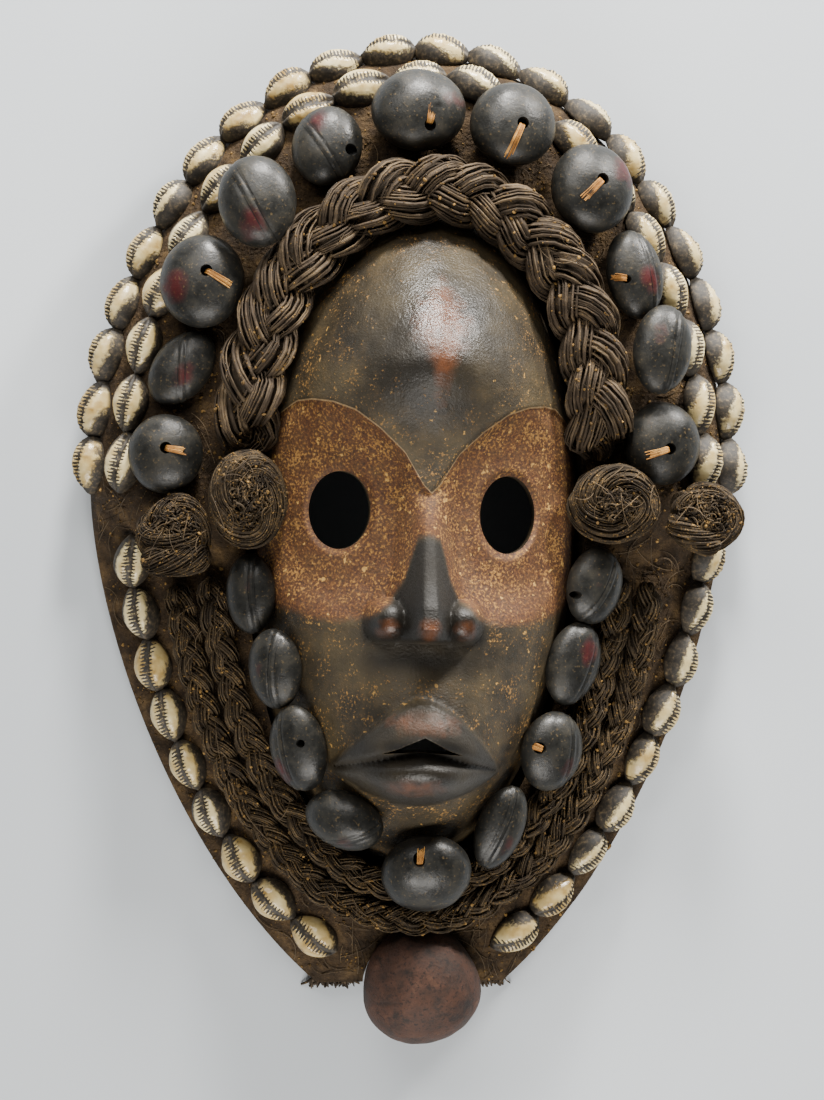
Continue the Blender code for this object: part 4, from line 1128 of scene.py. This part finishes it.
# straw that ties a nut on; nutTies says how far it runs from the drilled hole, across and up the picture
straw = dict(stems=7, apart=0.28, radius=0.30, sides=5)
nutTies = dict(crown_nut_01=(7.5, -1.2), crown_nut_03=(10.5, -6.4), crown_nut_06=(1.0, 6.5),
               crown_nut_07=(-5.6, -12.4), crown_nut_08=(-7.4, -7.5), crown_nut_11=(-8.8, -2.6),
               beard_nut_05=(0.6, 6.5), beard_nut_07=(-4.5, 1.6), crown_nut_09=(-5.5, 0.6))


def nutFrame(node, lean):
    # the solid's own middle and tilt: its thinnest direction, turned to face up, is the nut's front
    points = np.array([vertex.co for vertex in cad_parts[node].data.vertices]) / mm
    middle = (points.min(0) + points.max(0)) / 2
    heading = Vector((math.sin(math.radians(lean)), math.cos(math.radians(lean)), 0))
    spread = np.linalg.eigh(np.cov((points - points.mean(0)).T))[1][:, 0]
    normal = Vector(spread if spread[2] > 0 else -spread)
    return points, Vector(middle), turnFrame(normal, heading)


def makeNuts():
    ties = []
    for node, (width, length, lean, grooveAngle, grooveShift, hole, bruise) in nutTable.items():
        name = node[:-3].replace("_n", "N") + node[-2:]
        seed = float(len(name) + int(node[-2:]) * 3 + (50 if "beard" in node else 0))
        points, middle, facing = nutFrame(node, lean)
        local = (points - np.array(middle)) @ np.array(facing)
        low, high = local.min(0), local.max(0)
        centre, half = (low + high) / 2, (high - low) / 2
        rings, around = nutShape["rings"], nutShape["around"]
        ball = ballGrid(rings, around)
        full = np.array((width / 2, length / 2, (half[2] * 2) / (1 + nutShape["flatUnder"])))
        shape = ball * full
        shape[:, 2] = np.maximum(shape[:, 2], -nutShape["flatUnder"] * full[2])
        lump = 1 + 0.024 * roughness3d(ball, 0.9, seed) + 0.009 * roughness3d(ball, 0.3, seed)
        shape *= lump[:, None]
        keelGap = np.full(len(shape), 20.0)
        if grooveAngle is not None:
            angle = math.radians(grooveAngle - lean)
            off = shape[:, 0] * math.cos(angle) - shape[:, 1] * math.sin(angle) - grooveShift * width / 2
            off = off + 0.6 * np.sin(shape[:, 1] / 9 + seed)
            pair = np.exp(-((np.abs(off) - nutShape["grooveApart"]) / 0.5) ** 2) * (ball[:, 2] > -0.3)
            keel = np.exp(-(off / 1.0) ** 2) * (ball[:, 2] > -0.3)
            shape -= ball * (nutShape["grooveDepth"] * pair - 0.12 * keel)[:, None]
            keelGap = np.where(ball[:, 2] > -0.3, off, 20.0)
        shape[:, 2] += (high[2] + low[2]) / 2 - (1 - nutShape["flatUnder"]) / 2 * full[2]
        shape[:, :2] += centre[:2]
        stain = bruise[2] * bump(ball[:, 0], ball[:, 1], bruise[0], bruise[1], 0.40, 0.40) * (ball[:, 2] > 0)
        world = shape @ np.array(facing).T + np.array(middle)
        mesh = mergedMesh(newMesh(name, world, gridFaces(rings + 1, around, False, True), bruise=stain,
                                  keelGap=keelGap))
        piece = newPiece(name, mesh, materials["nut"])
        if hole:
            start = facing @ Vector((hole[0] * width / 2, hole[1] * length / 2, full[2])) + middle
            drill = bmesh.new()
            radius = nutShape["holeRadius"] * (1.0 if width > nutShape["narrow"] else nutShape["smallHole"])
            bmesh.ops.create_cone(drill, cap_ends=True, segments=20, radius1=radius * 0.8 * mm,
                                  radius2=radius * mm, depth=18 * mm)
            drill.transform(Matrix.Translation(start * mm) @ facing.to_4x4())
            cutterMesh = bpy.data.meshes.new("drill")
            drill.to_mesh(cutterMesh)
            drill.free()
            drillPiece = newPiece("drill", cutterMesh)
            piece = cutPiece(piece, [drillPiece], nutShape["sharpAngle"], materials["nut"])
            if node in nutTies:
                ties.append((np.array(start), nutTies[node]))
        settlePiece(piece, "nut", node)
    print("nuts:", len(nutTable))
    return ties


def makeTies(ties):
    # flat straw, stems side by side, out of the drilled hole and down over the nut to the cloth
    bed = solidTree(*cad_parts)
    rng = np.random.default_rng(12)
    lines = []
    for start, run in ties:
        run = np.array(run)
        across = np.array((-run[1], run[0])) / np.linalg.norm(run)
        for stem in range(straw["stems"]):
            steps = np.linspace(0, 1, 14)
            beside = (stem - straw["stems"] // 2) * straw["apart"] + rng.uniform(-0.15, 0.15)
            sway = across * beside * (1 + 0.5 * steps[:, None])
            places = start[:2] + run * steps[:, None] * rng.uniform(0.85, 1.08) + sway
            heights = smoothed(topHeights(bed, places, start[2]), 1) + 0.45
            heights[:2] -= (4.5, 1.2)
            lines.append((np.column_stack((places, heights)), 1 - 0.3 * steps ** 4, rng.uniform(0.3, 1.0)))
    settlePiece(makeCords("strawTies", lines, straw["radius"], straw["sides"], materials["straw"]), "fibre")
    print("straw ties:", len(lines), "stems")


# iron bell: a ball forged from sheet, uneven and a little flat at the top and in front

bell = dict(around=72, rings=48, dents=0.5, flatTop=0.94, flatFront=0.97)


def makeBell():
    low, high = (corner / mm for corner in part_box("bell"))
    ball = ballGrid(bell["rings"], bell["around"])
    forged = 1 + 0.03 * np.cos(3 * np.arctan2(ball[:, 1], ball[:, 0]) + 1.0)
    shape = np.stack((ball[:, 0] * forged, np.minimum(ball[:, 1] * forged, bell["flatTop"]),
                      np.clip(ball[:, 2], -bell["flatFront"], bell["flatFront"]) / bell["flatFront"]), 1)
    low3, high3 = shape.min(0), shape.max(0)
    shape = (shape - low3) / (high3 - low3) * np.array(high - low) + np.array(low)
    middle = np.array((low + high) / 2)
    dent = bell["dents"] * (roughness3d(shape, 16, 11) + 0.4 * roughness3d(shape, 5, 12)) - 0.25
    shape += (shape - middle) / 22 * dent[:, None]
    shape[:, 2] = np.maximum(shape[:, 2], 0)
    mesh = mergedMesh(newMesh("forgedBell", shape, gridFaces(bell["rings"] + 1, bell["around"], False, True)))
    settlePiece(newPiece("forgedBell", mesh, materials["iron"]), "iron", "bell")
    print("bell:", len(mesh.polygons), "faces")


# crumbs of dry mud and stray hairs, where the fabric catches them

crumbs = dict(count=3200, smallest=0.35, largest=1.5, lowest=3, seed=21)
strays = dict(count=230, radius=0.17, shortest=7, longest=22, lowest=5, steepest=2.5, ragged=240, seed=22)
cadLow, cadHigh = (np.array(corner / mm) for corner in cadBounds)
softPieces = ("clothSurround", "browBraid", "beardPlaitOuter", "beardPlaitInner", "leftEarCoil", "rightEarCoil",
              "leftOuterKnot", "rightOuterKnot")


def pieceTree(names):
    points, faces = [], []
    for name in names:
        mesh = bpy.data.objects[name].data
        first = len(points)
        places = np.empty(len(mesh.vertices) * 3)
        mesh.vertices.foreach_get("co", places)
        points += (places.reshape(-1, 3) / mm).tolist()
        faces += [[first + index for index in face.vertices] for face in mesh.polygons]
    return BVHTree.FromPolygons(points, faces)


def makeCrumbs(soft, hard):
    rng = np.random.default_rng(crumbs["seed"])
    shape = bmesh.new()
    bmesh.ops.create_icosphere(shape, subdivisions=1, radius=0.5 * mm)
    for vertex in shape.verts:
        vertex.co *= rng.uniform(0.7, 1.2)
    pattern = bpy.data.meshes.new("crumbShape")
    shape.to_mesh(pattern)
    shape.free()
    places, turns, stretches, tones = [], [], [], []
    while len(places) < crumbs["count"]:
        x, y = rng.uniform(cadLow[0], cadHigh[0]), rng.uniform(cadLow[1], cadHigh[1])
        if noise.noise(Vector((x / 9, y / 9, 3.7))) < rng.uniform(-0.5, 0.5):
            continue
        bed, cover = below(soft, x, y), below(hard, x, y)
        if bed is None or (cover is not None and cover.z > bed.z) or bed.z < crumbs["lowest"]:
            continue
        size = crumbs["smallest"] + (crumbs["largest"] - crumbs["smallest"]) * rng.random() ** 3
        places.append((x, y, bed.z + 0.1 * size))
        turns.append(Quaternion(unit(rng.normal(size=4))))
        stretches.append(size * rng.uniform(0.7, 1.3, 3))
        tones.append(rng.random())
    settlePiece(scatterShape("mudCrumbs", pattern, places, turns, stretches, tones, materials["earth"]), "cloth")
    print("mud crumbs:", len(places))


def makeStrays(soft, hard):
    rng = np.random.default_rng(strays["seed"])
    lines = []
    while len(lines) < strays["count"]:
        x, y = rng.uniform(cadLow[0], cadHigh[0]), rng.uniform(cadLow[1], cadHigh[1])
        heading = rng.uniform(0, 2 * math.pi)
        steps = np.linspace(0, 1, 12)
        angle = heading + rng.uniform(-2.2, 2.2) * steps
        length = rng.uniform(strays["shortest"], strays["longest"])
        places = np.array((x, y)) + np.cumsum(np.stack((np.cos(angle), np.sin(angle)), 1), axis=0) * length / 12
        under, hidden = topHeights(soft, places, -1.0), topHeights(hard, places, -1.0)
        steep = np.abs(np.diff(under)).max() > strays["steepest"]
        if under.min() < strays["lowest"] or (hidden > under).any() or steep:
            continue
        heights = smoothed(under, 2) + 0.25 + rng.uniform(0, 1.5) * np.sin(math.pi * steps)
        lines.append((np.column_stack((places, np.maximum(heights, under + 0.1))), 1.0, rng.uniform(0.2, 1.4)))
    # ragged threads along the cut lower edge of the cloth, on both sides of the bell
    end = clothEnd + maskShift[1]
    for _ in range(strays["ragged"]):
        x = rng.uniform(21, 37) * rng.choice((-1, 1)) - 1
        steps = np.linspace(0, 1, 8)
        heading = rng.uniform(-0.9, 0.9)
        out = rng.uniform(1.5, 4.5) * steps
        path = np.stack((x + out * math.sin(heading) + rng.uniform(-2, 2) * steps ** 2,
                         end + 1.0 - out * math.cos(heading), rng.uniform(1, 6) * (1 - steps) + 0.3), 1)
        lines.append((path, rng.uniform(1.2, 3.2), rng.uniform(0, 0.8)))
    settlePiece(makeCords("strayHairs", lines, strays["radius"], 3, materials["fibre"]), "fibre")
    print("stray hairs:", len(lines))


def makeFloor():
    mesh = newMesh("studioFloor", [(-2500, -2500, 0), (2500, -2500, 0), (2500, 2500, 0), (-2500, 2500, 0)],
                   [(0, 1, 2, 3)])
    newPiece("studioFloor", mesh, floorMaterial())


makeCamera()
makeLights()
makeFloor()
makeFace()
makeCloth()
makeCowries()
makePlaits()
makeCoils()
makeTies(makeNuts())
makeBell()
softTree = pieceTree(softPieces)
hardTree = pieceTree([piece.name for piece in bpy.data.objects if piece.type == "MESH" and not piece.hide_render
                      and piece.name not in softPieces + ("studioFloor",) and piece.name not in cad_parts])
makeCrumbs(softTree, hardTree)
makeStrays(softTree, hardTree)
